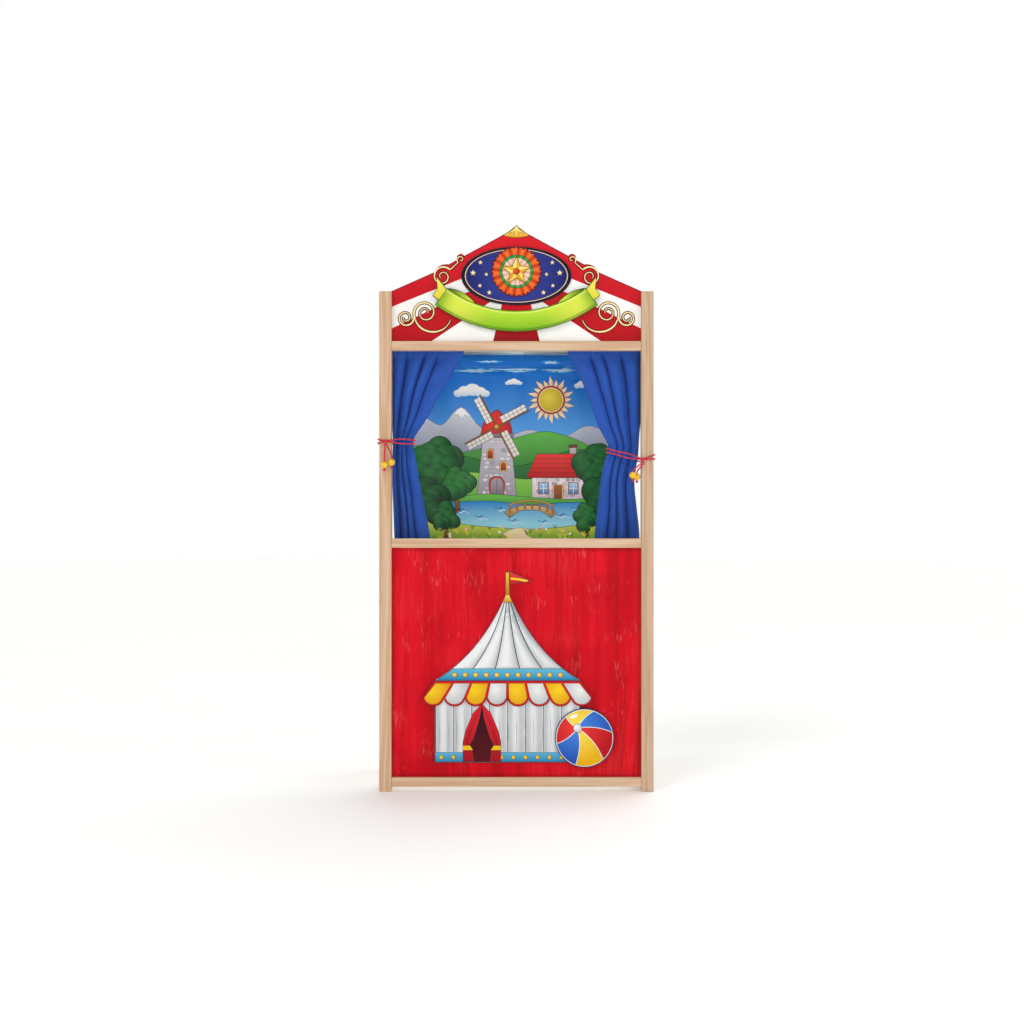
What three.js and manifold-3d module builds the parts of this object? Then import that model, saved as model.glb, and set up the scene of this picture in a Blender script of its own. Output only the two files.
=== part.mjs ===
// A puppet theatre stand for children: a slim pine front frame with a painted gable, a red plywood
// front, tied-back curtains and a cloth backdrop. It stands on two low wings that fold in behind it.
// Millimetres, +Z up. The front faces -Y, and the origin is on the floor at the middle of the frame.

import * as THREE from "three";
import { mergeVertices } from "three/addons/utils/BufferGeometryUtils.js";
import Module from "manifold-3d";

const wasm = await Module();
wasm.setup();

// Fits that every piece shares
const seatGap = 0.3; // between two pieces that rest on each other
const overrun = 2; // how far a cutter runs past the face it cuts
const weld = 0.0005; // vertices nearer than this are one

// Front frame: two posts and three rails of square pine
const stageWidth = 506;
const postSide = 25;
const postEase = 2.5;
const postEndEase = 1.8;
const railSide = 19;
const railEase = 1.6;
const railSetback = 2;
const bottomRailRise = 10;
const panelHeight = 465;
const stageHeight = 381;
const postAboveRail = 101;

// Boards that slide into grooves of the frame
const panelThickness = 5;
const panelFront = 9;
const panelTongue = 8;
const railGroove = 5;
const headerThickness = 6;
const headerFront = 12;
const headerTongue = 10;

// Gable outline, with heights above the top rail
const eaveRise = 98.5;
const kneeRise = 141;
const peakRise = 217;
const tipRise = 237;
const kneeShare = 0.636; // of the board's half width
const finialHalf = 27;
const finialWaist = 7;
const scrollBumpInset = 7; // from the upper scroll's middle
const scrollBumpMargin = 4.9; // beyond the upper scroll
const curlBumpLift = 3.5;

// Cut-outs glued on the gable, with heights above the top rail
const reliefThickness = 3.7;
const reliefEase = 0.8;
const medallionHalfWidth = 112;
const medallionHalfHeight = 61;
const medallionRise = 133;
const rosetteRadius = 47;
const rosetteScallop = 4.5;
const rosetteRise = 141;
const scallopsRound = 16;
const pleatSteps = 3;
const starRadius = 31;
const starWaist = 14;
const starThickness = 2.8;
const starPoints = 5;
const ribbonBend = 259;
const ribbonHalfHeight = 21;
const ribbonHalfWidth = 153;
const ribbonRise = 40.5;
const spacerInset = 6; // the block behind the ribbon, inside its edges and its ends
const spacerEnd = 30;
const tailReach = 30;
const tailSpread = 27;
const tailNotch = 14;
const scrollThickness = 2.6;
const scrollBand = 3.4;
const scrollCoreShare = 0.22; // inner radius of a spiral, of its outer one
const lowerScrollX = 185;
const lowerScrollRise = 58.5;
const lowerScrollSize = 24;
const upperScrollX = 150;
const upperScrollSink = 18.3; // below the gable's slope
const upperScrollSize = 20.6;

// The scrolls' spirals and stems in shares of each scroll's size, and their starts in whole turns
const lowerSpiralShares = [
  { x: 0, rise: 0, radius: 1, start: -0.086, turns: 1.6 },
  { x: 1.667, rise: -0.4375, radius: 0.729, start: -0.541, turns: 1.6 },
];
const lowerStemShares = [
  [0.858, -0.5125],
  [0.583, -1.854],
  [-1.625, -2.104],
  [-2.125, -0.604],
];
const upperSpiralShares = [
  { x: 0, rise: 0, radius: 1, start: 0.3836, turns: -1.5 },
  { x: -1.796, rise: 1.675, radius: 0.408, start: -0.1257, turns: 0.9 },
];
const upperStemShares = [
  [-0.743, 0.67],
  [-0.971, 0.874],
  [-1.311, 1.165],
  [-1.51, 1.388],
];

// Frame connector bolts
const boltShank = 6;
const boltPlay = 0.4;
const boltHead = 12;
const boltHeadHeight = 3.5;
const boltReach = 58;
const boltSocket = 4.6;
const boltSocketSides = 6;
const boltSocketDepth = 2.2;
const boltSink = 1;

// Side wings: open pine frames on continuous hinges behind the posts
const wingThickness = 18;
const wingBar = 25;
const wingHeight = 465;
const wingRise = 12;
const wingEase = 1.6;
const foldGap = 2.6;
const tenonThickness = 8;
const tenonWidth = 17;
const tenonLength = 15;
const hingeSpace = 4;
const knuckleRadius = 3;
const knuckleInset = 0.4;
const knuckleGap = 0.4;
const knucklePitch = 33;
const knuckleCount = 11;
const hingeFoot = 56;
const leafWidth = 17;
const leafPlay = 0.8;
const leafHole = 4;
const holesOnLeaf = 5;
const pinRadius = 1.5;
const pinPlay = 0.2;

// Plywood brackets behind the posts, and the rods that lie in their notches
const bracketThickness = 15;
const bracketInset = 5;
const bracketLeg = 171;
const bracketLegDepth = 30;
const bracketArm = 38;
const bracketNose = 15;
const bracketSweep = 62;
const bracketTopRise = 17; // above the underside of the top rail
const rodRadius = 5;
const rodPlay = 0.4;
const rodEase = 1.2;
const rodOverhang = 3;
const curtainRodDepth = 38;
const curtainRodRise = 11; // above the underside of the top rail
const backdropRodDepth = 172;
const backdropRodDrop = 4; // below the underside of the top rail
const screwShank = 4.5;
const screwHead = 9;
const screwReach = 46;
const screwPoint = 6;
const screwEdge = 24;

// Curtains and backdrop, as solids with their main folds
const clothThickness = 3.4;
const sleeveRadius = 7.8;
const sleeveRipple = 0.9;
const sleeveTopShare = 0.42; // where the sleeve's rows start and how far they run, in half turns
const sleeveTurnShare = 0.62;
const curtainDrop = 18; // the hem hangs this far below the sill
const curtainFold = 6;
const waistFold = 2;
const waistThickness = 11;
const spreadShare = 0.65; // how soon a curtain spreads again below its tie: 1 is evenly
const leftCurtain = {
  side: -1,
  topReach: 148,
  topTuck: -3,
  waistReach: 43,
  waistTuck: 1,
  waistHalf: 10,
  waistRise: 197,
  footReach: 76,
  footTuck: 2,
  folds: 4.5,
  foldStartShare: 0.064,
};
const rightCurtain = {
  side: 1,
  topReach: 151,
  topTuck: -3,
  waistReach: 66,
  waistTuck: 9,
  waistHalf: 15,
  waistRise: 171,
  footReach: 92,
  footTuck: 2,
  folds: 4.5,
  foldStartShare: 0.414,
};
const backdropHalfWidth = 240;
const backdropHeading = 15; // ruffle above the rod's axis
const backdropHemDrop = 28; // hem below the sill
const backdropFold = 2.4;
const backdropFolds = 5.5;

// Curtain ties: a thin cord twice round post and curtain, with its two ends through wooden beads.
// Each end's route starts at the tie's knot, and its bead sits at the route's last point but one.
const cordRadius = 1.5;
const cordPlay = 0.5;
const turnSpread = 8;
const knotRadius = 4.2;
const endKnotRadius = 2.9;
const beadRadius = 7.3;
const beadBore = 2;
const leftTie = {
  side: -1,
  knotInset: -11,
  knotRise: 197,
  innerRise: 0,
  outerRise: 0,
  tails: [
    {
      route: [
        [-1.9, -2.5, -4.9],
        [-2, -3.3, -12],
        [-2.3, -4.8, -24],
        [-2.6, -5.7, -36],
        [-2.6, -5.7, -48],
        [-2.6, -5.7, -58],
      ],
    },
    {
      route: [
        [1.9, -2.5, -4.9],
        [3.6, -3.3, -11],
        [8.8, -4.8, -21],
        [12, -5.7, -32],
        [12, -5.7, -43],
        [12, -5.7, -53],
      ],
    },
  ],
};
const rightTie = {
  side: 1,
  knotInset: -2,
  knotRise: 160,
  innerRise: 19,
  outerRise: 5,
  tails: [
    {
      route: [
        [-1.9, -2.5, -4.9],
        [-3.2, -2.8, -8.4],
        [-10, -3.8, -14],
        [-17, -4.8, -20],
        [-20, -5.3, -26],
        [-20, -5.3, -32],
        [-20, -5.3, -42],
      ],
    },
    {
      route: [
        [1.9, -2.5, -4.9],
        [1.3, -2.6, -9],
        [-3, -2.4, -14],
        [-7, 1.4, -19],
        [-10, 5.6, -23.5],
        [-10.8, 7.4, -28],
        [-10.8, 7.6, -35],
        [-10.8, 7.6, -45],
      ],
    },
  ],
};

// Emblem on the red front: a circus tent and a ball, cut from thin plywood
const emblemThickness = 4;
const emblemOverlay = 3.2;
const tentX = -18;
const tentRise = 30;
const tentHalfWidth = 148;
const tentWallHeight = 132;
const tentEaveHalf = 172;
const tentEaveHeight = 34;
const tentRoofHeight = 172;
const tentRoofSag = 34;
const mastHeight = 48;
const mastHalf = 4;
const pennantLength = 48;
const pennantHeight = 26;
const scallops = 8;
const scallopDrop = 18;
const ballX = 138;
const ballRise = 20;
const ballClearance = 4; // below the valance's scallops

// Smoothness of round forms
const roundSteps = 20;
const smallSteps = 10;
const curveSteps = 7;
const spiralSteps = 16;
const cordSides = 8;
const tailSteps = 9;
const curtainColumns = 25;
const curtainRows = 5;
const backdropColumns = 30;
const backdropRows = 6;
const sleeveRows = 4;

function finish(color, roughness, metalness) {
  return new THREE.MeshStandardMaterial({ color, roughness, metalness });
}

const materials = {
  pine: finish("#dcb98f", 0.62, 0),
  redPly: finish("#c9141d", 0.55, 0),
  gable: finish("#d81c2a", 0.45, 0),
  medallion: finish("#22307e", 0.42, 0),
  rosette: finish("#e4501e", 0.42, 0),
  gold: finish("#e9c23a", 0.4, 0.1),
  ribbon: finish("#a9d62b", 0.42, 0),
  canvas: finish("#d8dbdc", 0.5, 0),
  valance: finish("#f0b71b", 0.5, 0),
  ball: finish("#2c6fb4", 0.45, 0),
  plywood: finish("#d9b887", 0.68, 0),
  beech: finish("#d9b48a", 0.55, 0),
  curtain: finish("#2347a8", 0.7, 0),
  backdrop: finish("#4f9a3c", 0.5, 0),
  zinc: finish("#b9bcc0", 0.35, 0.9),
  cord: finish("#c31a2b", 0.75, 0),
  bead: finish("#f2c21c", 0.35, 0),
};

// Heights of the frame, from the floor up
const middleRailZ = bottomRailRise + railSide + panelHeight;
const sillZ = middleRailZ + railSide;
const topRailZ = sillZ + stageHeight;
const headerBaseZ = topRailZ + railSide;
const postHeight = headerBaseZ + postAboveRail;

// Places across and along the frame
const postInner = stageWidth / 2;
const postOuter = postInner + postSide;
const railMiddleY = railSetback + railSide / 2;
const hingeX = postInner - knuckleRadius - knuckleInset;
const hingeY = postSide + hingeSpace / 2;
const wingFrontY = postSide + hingeSpace;
const wingLength = hingeX - hingeSpace / 2 - foldGap;
const frameDepth = wingFrontY + wingLength;
const bracketTopZ = topRailZ + bracketTopRise;
const curtainRodZ = topRailZ + curtainRodRise;
const backdropRodZ = topRailZ - backdropRodDrop;
const sides = { left: -1, right: 1 };

const frame = new THREE.Group();

// Adds one named sub-part, made as a geometry or as a solid.
function add(name, shape, material) {
  const mesh = new THREE.Mesh(shape.isBufferGeometry ? shape : geometryOf(shape), material);
  mesh.name = name;
  frame.add(mesh);
}

// A closed geometry as a solid that can be joined and cut.
function solidOf(geometry) {
  const bare = geometry.clone();
  bare.deleteAttribute("normal");
  bare.deleteAttribute("uv");
  const merged = mergeVertices(bare, weld);
  return new wasm.Manifold(
    new wasm.Mesh({
      numProp: 3,
      vertProperties: new Float32Array(merged.attributes.position.array),
      triVerts: new Uint32Array(merged.index.array),
    }),
  );
}

function geometryOf(solid) {
  const mesh = solid.getMesh();
  const geometry = new THREE.BufferGeometry();
  geometry.setAttribute(
    "position",
    new THREE.BufferAttribute(mesh.vertProperties, mesh.numProp),
  );
  geometry.setIndex(new THREE.BufferAttribute(mesh.triVerts, 1));
  return geometry;
}

const joined = (...shapes) => shapes.map(solidOf).reduce((sum, next) => sum.add(next));
const cut = (solid, ...cutters) =>
  cutters.reduce((rest, cutter) => rest.subtract(solidOf(cutter)), solid);

// A box between two opposite corners.
function block([x0, y0, z0], [x1, y1, z1]) {
  const geometry = new THREE.BoxGeometry(
    Math.abs(x1 - x0),
    Math.abs(y1 - y0),
    Math.abs(z1 - z0),
  );
  return geometry.translate((x0 + x1) / 2, (y0 + y1) / 2, (z0 + z1) / 2);
}

// A round bar along an axis between two places on it; the other two coordinates are its centre.
function roundBar(axis, from, to, radius, [a, b], steps = smallSteps) {
  const geometry = new THREE.CylinderGeometry(radius, radius, Math.abs(to - from), steps);
  geometry.translate(0, (from + to) / 2, 0);
  if (axis === "x") return geometry.rotateZ(-Math.PI / 2).translate(0, a, b);
  if (axis === "y") return geometry.translate(a, 0, b);
  return geometry.rotateX(Math.PI / 2).translate(a, b, 0);
}

// A rectangle with rounded corners, centred on the origin.
function roundedRectangle(width, height, radius) {
  const shape = new THREE.Shape();
  const x = width / 2 - radius;
  const y = height / 2 - radius;
  shape.absarc(x, y, radius, 0, Math.PI / 2);
  shape.absarc(-x, y, radius, Math.PI / 2, Math.PI);
  shape.absarc(-x, -y, radius, Math.PI, Math.PI * 1.5);
  shape.absarc(x, -y, radius, Math.PI * 1.5, Math.PI * 2);
  return shape;
}

// An eased timber along an axis, from its lowest corner and its size.
function timber(axis, [x, y, z], [sizeX, sizeY, sizeZ], ease, endEase = 0) {
  const [width, height, length] = {
    x: [sizeZ, sizeY, sizeX],
    y: [sizeX, sizeZ, sizeY],
    z: [sizeX, sizeY, sizeZ],
  }[axis];
  const geometry = new THREE.ExtrudeGeometry(roundedRectangle(width, height, ease), {
    depth: length - 2 * endEase,
    bevelEnabled: endEase > 0,
    bevelThickness: endEase,
    bevelSize: endEase,
    bevelOffset: -endEase,
    bevelSegments: 2,
    curveSegments: 2,
  });
  geometry.translate(0, 0, endEase - length / 2);
  if (axis === "x") geometry.rotateY(Math.PI / 2);
  if (axis === "y") geometry.rotateX(-Math.PI / 2);
  return geometry.translate(x + sizeX / 2, y + sizeY / 2, z + sizeZ / 2);
}

// A flat board that faces the front: an outline in x and z, with its front face at y.
function board(outline, thickness, y, ease = 0) {
  const geometry = new THREE.ExtrudeGeometry(outline, {
    depth: thickness - 2 * ease,
    bevelEnabled: ease > 0,
    bevelThickness: ease,
    bevelSize: ease,
    bevelOffset: -ease,
    bevelSegments: 1,
    curveSegments: curveSteps,
  });
  return geometry.rotateX(Math.PI / 2).translate(0, y + thickness - ease, 0);
}

// A turned piece about the Y axis, from radii and places along it that start and end on the axis.
function turned(profile, steps = smallSteps) {
  return new THREE.LatheGeometry(
    profile.map(([radius, along]) => new THREE.Vector2(radius, along)),
    steps,
  );
}

// A plain outline through points.
function outlineOf(points) {
  return new THREE.Shape(points.map(([x, y]) => new THREE.Vector2(x, y)));
}

// Posts

function makePost(side) {
  const inner = side * postInner;
  const post = solidOf(
    timber(
      "z",
      [Math.min(inner, side * postOuter), 0, 0],
      [postSide, postSide, postHeight],
      postEase,
      postEndEase,
    ),
  );
  const headerGroove = block(
    [inner - side * overrun, headerFront - seatGap, headerBaseZ - railGroove - seatGap],
    [
      inner + side * headerTongue,
      headerFront + headerThickness + seatGap,
      postHeight + overrun,
    ],
  );
  const panelGroove = block(
    [
      inner - side * overrun,
      panelFront - seatGap,
      bottomRailRise + railSide - railGroove - seatGap,
    ],
    [
      inner + side * panelTongue,
      panelFront + panelThickness + seatGap,
      middleRailZ + railGroove + seatGap,
    ],
  );
  const bores = boltHeights.flatMap((z) => [
    roundBar(
      "x",
      inner - side * overrun,
      side * (postOuter + overrun),
      boltShank / 2 + boltPlay,
      [railMiddleY, z],
    ),
    roundBar(
      "x",
      side * (postOuter - boltSink - boltHeadHeight - seatGap),
      side * (postOuter + overrun),
      boltHead / 2 + boltPlay,
      [railMiddleY, z],
    ),
  ]);
  const pilots = screwHeights.map((z) =>
    roundBar(
      "y",
      bracketBackY - screwReach - seatGap,
      postSide + overrun,
      screwShank / 2 + boltPlay,
      [side * bracketX, z],
    ),
  );
  return cut(post, headerGroove, panelGroove, ...bores, ...pilots);
}

// Rails

const railFoots = [bottomRailRise, middleRailZ, topRailZ];
const boltHeights = railFoots.map((z) => z + railSide / 2);

// A rail between the posts, with grooves for the board above or below it and its bolt bores.
function makeRail(foot, grooves) {
  const half = postInner - seatGap;
  const rail = solidOf(
    timber(
      "x",
      [-half, railSetback, foot],
      [2 * half, railSide, railSide],
      railEase,
    ),
  );
  const slots = grooves.map(({ up, front, thickness }) => {
    const face = up ? foot + railSide : foot;
    const away = up ? 1 : -1;
    return block(
      [-half - overrun, front - seatGap, face - away * (railGroove + seatGap)],
      [half + overrun, front + thickness + seatGap, face + away * overrun],
    );
  });
  const bores = Object.values(sides).map((side) =>
    roundBar(
      "x",
      side * (postOuter - boltSink - boltReach - boltShank),
      side * (half + overrun),
      boltShank / 2 + boltPlay,
      [railMiddleY, foot + railSide / 2],
    ),
  );
  return cut(rail, ...slots, ...bores);
}

// A frame bolt with a round head and a hexagon socket, its tip towards the middle.
function makeBolt(side, z) {
  const head = boltHead / 2;
  const shank = boltShank / 2;
  const geometry = turned([
    [0, 0],
    [boltSocket, 0],
    [head, boltHeadHeight / 2],
    [head, boltHeadHeight],
    [shank, boltHeadHeight],
    [shank, boltReach - shank],
    [shank / 2, boltReach],
    [0, boltReach],
  ]);
  const socket = new THREE.CylinderGeometry(
    boltSocket / 2,
    boltSocket / 2,
    2 * boltSocketDepth,
    boltSocketSides,
  );
  for (const shape of [geometry, socket]) {
    shape.rotateZ((side * Math.PI) / 2);
    shape.translate(side * (postOuter - boltSink), railMiddleY, z);
  }
  return cut(solidOf(geometry), socket);
}

// Boards

const panelFootZ = bottomRailRise + railSide - railGroove;
const panelTopZ = middleRailZ + railGroove;
const frontPanel = block(
  [-postInner - panelTongue + seatGap, panelFront, panelFootZ],
  [postInner + panelTongue - seatGap, panelFront + panelThickness, panelTopZ],
);

const headerHalf = postInner + headerTongue - seatGap;
const headerFootZ = headerBaseZ - railGroove;
const kneeX = kneeShare * headerHalf;

// The gable: straight sides, two slopes to each side and a tent-like finial at the peak.
function gableOutline() {
  const shape = new THREE.Shape();
  shape.moveTo(-headerHalf, headerFootZ);
  shape.lineTo(headerHalf, headerFootZ);
  shape.lineTo(headerHalf, headerBaseZ + eaveRise);
  shape.lineTo(kneeX, headerBaseZ + kneeRise);
  shape.lineTo(finialHalf, headerBaseZ + peakRise);
  const tip = headerBaseZ + tipRise;
  const waist = headerBaseZ + peakRise + finialWaist;
  shape.quadraticCurveTo(finialHalf / 2, waist, 0, tip);
  shape.quadraticCurveTo(-finialHalf / 2, waist, -finialHalf, headerBaseZ + peakRise);
  shape.lineTo(-kneeX, headerBaseZ + kneeRise);
  shape.lineTo(-headerHalf, headerBaseZ + eaveRise);
  return shape;
}

// Height of the gable's upper slope above the top rail, and where the upper scroll lies on it.
const slopeRise = (x) =>
  kneeRise + ((peakRise - kneeRise) * (kneeX - x)) / (kneeX - finialHalf);
const upperScrollRise = slopeRise(upperScrollX) - upperScrollSink;

// A round bump on the gable's slope, under a scroll.
function bump(x, rise, radius) {
  const place = [x, headerBaseZ + rise];
  return roundBar("y", headerFront, headerFront + headerThickness, radius, place, roundSteps);
}

const curl = upperSpiralShares.at(-1);
const header = joined(
  board(gableOutline(), headerThickness, headerFront),
  ...Object.values(sides).flatMap((side) => [
    bump(
      side * (upperScrollX - scrollBumpInset),
      upperScrollRise,
      upperScrollSize + scrollBumpMargin,
    ),
    bump(
      side * (upperScrollX + curl.x * upperScrollSize),
      upperScrollRise + curl.rise * upperScrollSize + curlBumpLift,
      curl.radius * upperScrollSize,
    ),
  ]),
);

// Cut-outs on the gable

const medallionFront = headerFront - seatGap - reliefThickness;
const overlayFront = medallionFront - seatGap - reliefThickness;
const starFront = overlayFront - seatGap - starThickness;
const medallionZ = headerBaseZ + medallionRise;

function ellipseOutline(halfWidth, halfHeight, z) {
  const shape = new THREE.Shape();
  shape.absellipse(0, z, halfWidth, halfHeight, 0, Math.PI * 2);
  return shape;
}

const medallion = board(
  ellipseOutline(medallionHalfWidth, medallionHalfHeight, medallionZ),
  reliefThickness,
  medallionFront,
  reliefEase,
);

// A pleated rosette: a disc whose edge swells once for each pleat.
function rosetteOutline() {
  const steps = scallopsRound * pleatSteps;
  const points = Array.from({ length: steps }, (_, i) => {
    const angle = (i / steps) * Math.PI * 2;
    const swell = Math.abs(Math.cos((angle * scallopsRound) / 2));
    const radius = rosetteRadius + rosetteScallop * swell;
    const z = headerBaseZ + rosetteRise;
    return [radius * Math.cos(angle), z + radius * Math.sin(angle)];
  });
  return outlineOf(points);
}

function starOutline() {
  const points = Array.from({ length: 2 * starPoints }, (_, i) => {
    const angle = Math.PI / 2 + (i / starPoints) * Math.PI;
    const radius = i % 2 ? starWaist : starRadius;
    const z = headerBaseZ + rosetteRise;
    return [radius * Math.cos(angle), z + radius * Math.sin(angle)];
  });
  return outlineOf(points);
}

const ribbonTurn = Math.asin(ribbonHalfWidth / ribbonBend);
const ribbonCentreZ = headerBaseZ + ribbonRise + ribbonBend;

// A band that hangs in an arc, drawn in from the ribbon's edges and ends.
function ribbonOutline(inset, endInset) {
  const shape = new THREE.Shape();
  const half = ribbonHalfHeight - inset;
  const turn = ribbonTurn - endInset / ribbonBend;
  const low = -Math.PI / 2 - turn;
  const high = -Math.PI / 2 + turn;
  shape.absarc(0, ribbonCentreZ, ribbonBend + half, low, high);
  shape.absarc(0, ribbonCentreZ, ribbonBend - half, high, low, true);
  return shape;
}

// A forked tail that stands out from the ribbon's upper end, along the ribbon's own direction there.
function tailOutline(side) {
  const out = [Math.cos(ribbonTurn), Math.sin(ribbonTurn)];
  const up = [-Math.sin(ribbonTurn), Math.cos(ribbonTurn)];
  const end = ribbonBend * Math.sin(ribbonTurn);
  const endZ = ribbonCentreZ - ribbonBend * Math.cos(ribbonTurn);
  const place = (along, across) => [
    side * (end + along * out[0] + across * up[0]),
    endZ + along * out[1] + across * up[1],
  ];
  const root = ribbonHalfHeight - reliefThickness;
  return outlineOf([
    place(-tailNotch, root),
    place(-tailNotch, -root / 2),
    place(tailReach / 2, -root / 2),
    place(tailReach - tailNotch, root / 2),
    place(tailReach, tailSpread),
    place(0, root + reliefThickness / 2),
  ]);
}

// The ribbon stands off the gable on a spacer, whose back is cut to clear the medallion.
function makeRibbon() {
  const band = board(ribbonOutline(0, 0), reliefThickness, overlayFront);
  const spacer = board(
    ribbonOutline(spacerInset, spacerEnd),
    headerFront - seatGap - overlayFront - reliefThickness / 2,
    overlayFront + reliefThickness / 2,
  );
  const tails = Object.values(sides).map((side) =>
    board(tailOutline(side), reliefThickness, overlayFront),
  );
  const rebate = board(
    ellipseOutline(
      medallionHalfWidth + seatGap,
      medallionHalfHeight + seatGap,
      medallionZ,
    ),
    headerThickness + reliefThickness + seatGap,
    medallionFront - seatGap,
  );
  return cut(joined(band, spacer, ...tails), rebate);
}

// A flat band of even width along points in x and z.
function bandOutline(points, width) {
  const edge = (sign) =>
    points.map(([x, z], i) => {
      const [ax, az] = points[Math.max(i - 1, 0)];
      const [bx, bz] = points[Math.min(i + 1, points.length - 1)];
      const length = Math.hypot(bx - ax, bz - az);
      const half = (sign * width) / 2 / length;
      return [x - (bz - az) * half, z + (bx - ax) * half];
    });
  return outlineOf([...edge(1), ...edge(-1).reverse()]);
}

// Points of a spiral that winds in, in shares of its scroll's size.
function spiralShares({ x, rise, radius, start, turns }) {
  const steps = Math.ceil(spiralSteps * Math.abs(turns));
  return Array.from({ length: steps + 1 }, (_, i) => {
    const share = i / steps;
    const angle = (start + share * turns) * Math.PI * 2;
    const reach = radius * (1 - (1 - scrollCoreShare) * share);
    return [x + reach * Math.cos(angle), rise + reach * Math.sin(angle)];
  });
}

// Gold scrollwork: spirals that a sweeping stem joins, placed by the first spiral's middle.
function makeScroll(side, [x, rise, size], spirals, stemShares) {
  const stem = new THREE.CubicBezierCurve(
    ...stemShares.map((point) => new THREE.Vector2(...point)),
  );
  const lines = [...spirals.map(spiralShares), stem.getPoints(smallSteps).map((p) => [p.x, p.y])];
  const bands = lines.map((line) => {
    const placed = line.map(([across, up]) => [
      side * (x + across * size),
      headerBaseZ + rise + up * size,
    ]);
    const y = headerFront - seatGap - scrollThickness;
    return board(bandOutline(placed, scrollBand), scrollThickness, y);
  });
  return joined(...bands);
}

// Emblem on the front panel

const emblemFront = panelFront - seatGap - emblemThickness;
const emblemOverlayFront = emblemFront - seatGap - emblemOverlay;
const emblemFootZ = bottomRailRise + railSide + tentRise;
const eaveZ = emblemFootZ + tentWallHeight;
const roofZ = eaveZ + tentEaveHeight;
const mastFootZ = roofZ + tentRoofHeight;

// The tent: walls, an eaves band that flares, a roof that sags to its mast, and a pennant.
function tentOutline() {
  const shape = new THREE.Shape();
  const mastTopZ = mastFootZ + mastHeight;
  const quarter = pennantHeight / 4;
  shape.moveTo(tentX - tentHalfWidth, emblemFootZ);
  shape.lineTo(tentX + tentHalfWidth, emblemFootZ);
  shape.lineTo(tentX + tentHalfWidth, eaveZ);
  shape.lineTo(tentX + tentEaveHalf, eaveZ);
  shape.lineTo(tentX + tentHalfWidth, roofZ);
  shape.quadraticCurveTo(
    tentX + tentHalfWidth / 2 - tentRoofSag / 2,
    roofZ + tentRoofHeight / 2 - tentRoofSag,
    tentX + mastHalf,
    mastFootZ,
  );
  shape.lineTo(tentX + mastHalf, mastTopZ - pennantHeight);
  shape.quadraticCurveTo(
    tentX + pennantLength / 2,
    mastTopZ - pennantHeight + quarter,
    tentX + pennantLength,
    mastTopZ - pennantHeight / 2 - quarter,
  );
  shape.quadraticCurveTo(
    tentX + pennantLength / 2,
    mastTopZ - quarter,
    tentX + mastHalf,
    mastTopZ,
  );
  shape.lineTo(tentX - mastHalf, mastTopZ);
  shape.lineTo(tentX - mastHalf, mastFootZ);
  shape.quadraticCurveTo(
    tentX - tentHalfWidth / 2 + tentRoofSag / 2,
    roofZ + tentRoofHeight / 2 - tentRoofSag,
    tentX - tentHalfWidth,
    roofZ,
  );
  shape.lineTo(tentX - tentEaveHalf, eaveZ);
  shape.lineTo(tentX - tentHalfWidth, eaveZ);
  return shape;
}

// The scalloped valance that lies over the eaves.
function valanceOutline() {
  const shape = new THREE.Shape();
  const bulge = tentEaveHalf / scallops;
  shape.moveTo(tentX + tentEaveHalf, eaveZ);
  shape.lineTo(tentX + tentHalfWidth, roofZ);
  shape.lineTo(tentX - tentHalfWidth, roofZ);
  shape.lineTo(tentX - tentEaveHalf, eaveZ);
  for (let i = 0; i < scallops; i += 1) {
    const x = tentX - tentEaveHalf + (2 * i + 1) * bulge;
    shape.absellipse(x, eaveZ, bulge, scallopDrop, Math.PI, Math.PI * 2);
  }
  return shape;
}

const ballFootZ = bottomRailRise + railSide + ballRise;
const ballRadius = (eaveZ - scallopDrop - ballClearance - ballFootZ) / 2;
const ballZ = ballFootZ + ballRadius;

// The ball lies on the tent and on the panel, so its back is cut to clear the tent.
function makeBall() {
  const ball = roundBar(
    "y",
    emblemOverlayFront,
    panelFront - seatGap,
    ballRadius,
    [ballX, ballZ],
    2 * roundSteps,
  );
  const rebate = block(
    [tentX, emblemFront - seatGap, 0],
    [tentX + tentHalfWidth + seatGap, panelFront + overrun, eaveZ + seatGap],
  );
  return cut(solidOf(ball), rebate);
}

// Brackets and rods

const bracketX = postInner + bracketInset + bracketThickness / 2;
const bracketFrontY = postSide + seatGap;
const bracketBackY = bracketFrontY + bracketLegDepth;
const bracketFootZ = bracketTopZ - bracketLeg;
const screwHeights = [bracketFootZ + screwEdge, bracketTopZ - bracketArm - screwEdge];

// A leg and an arm in one, with a hollow sweep between them.
function bracketOutline() {
  const shape = new THREE.Shape();
  const armZ = bracketTopZ - bracketArm;
  const noseY = backdropRodDepth + bracketNose;
  shape.moveTo(bracketFrontY, bracketFootZ);
  shape.lineTo(bracketBackY, bracketFootZ);
  shape.lineTo(bracketBackY, armZ - bracketSweep);
  shape.quadraticCurveTo(bracketBackY, armZ, bracketBackY + bracketSweep, armZ);
  shape.lineTo(noseY - bracketArm / 2, armZ);
  shape.absarc(
    noseY - bracketArm / 2,
    armZ + bracketArm / 2,
    bracketArm / 2,
    -Math.PI / 2,
    Math.PI / 2,
  );
  shape.lineTo(bracketFrontY, bracketTopZ);
  return shape;
}

// A notch that is open at the top and round at the bottom, for a rod.
function rodNotch(depth, z) {
  const radius = rodRadius + rodPlay;
  const from = postInner;
  const to = postOuter + overrun;
  return (side) => [
    roundBar("x", side * from, side * to, radius, [depth, z], roundSteps),
    block(
      [side * from, depth - radius, z],
      [side * to, depth + radius, bracketTopZ + overrun],
    ),
  ];
}

const curtainNotch = rodNotch(curtainRodDepth, curtainRodZ);
const backdropNotch = rodNotch(backdropRodDepth, backdropRodZ);

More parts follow.
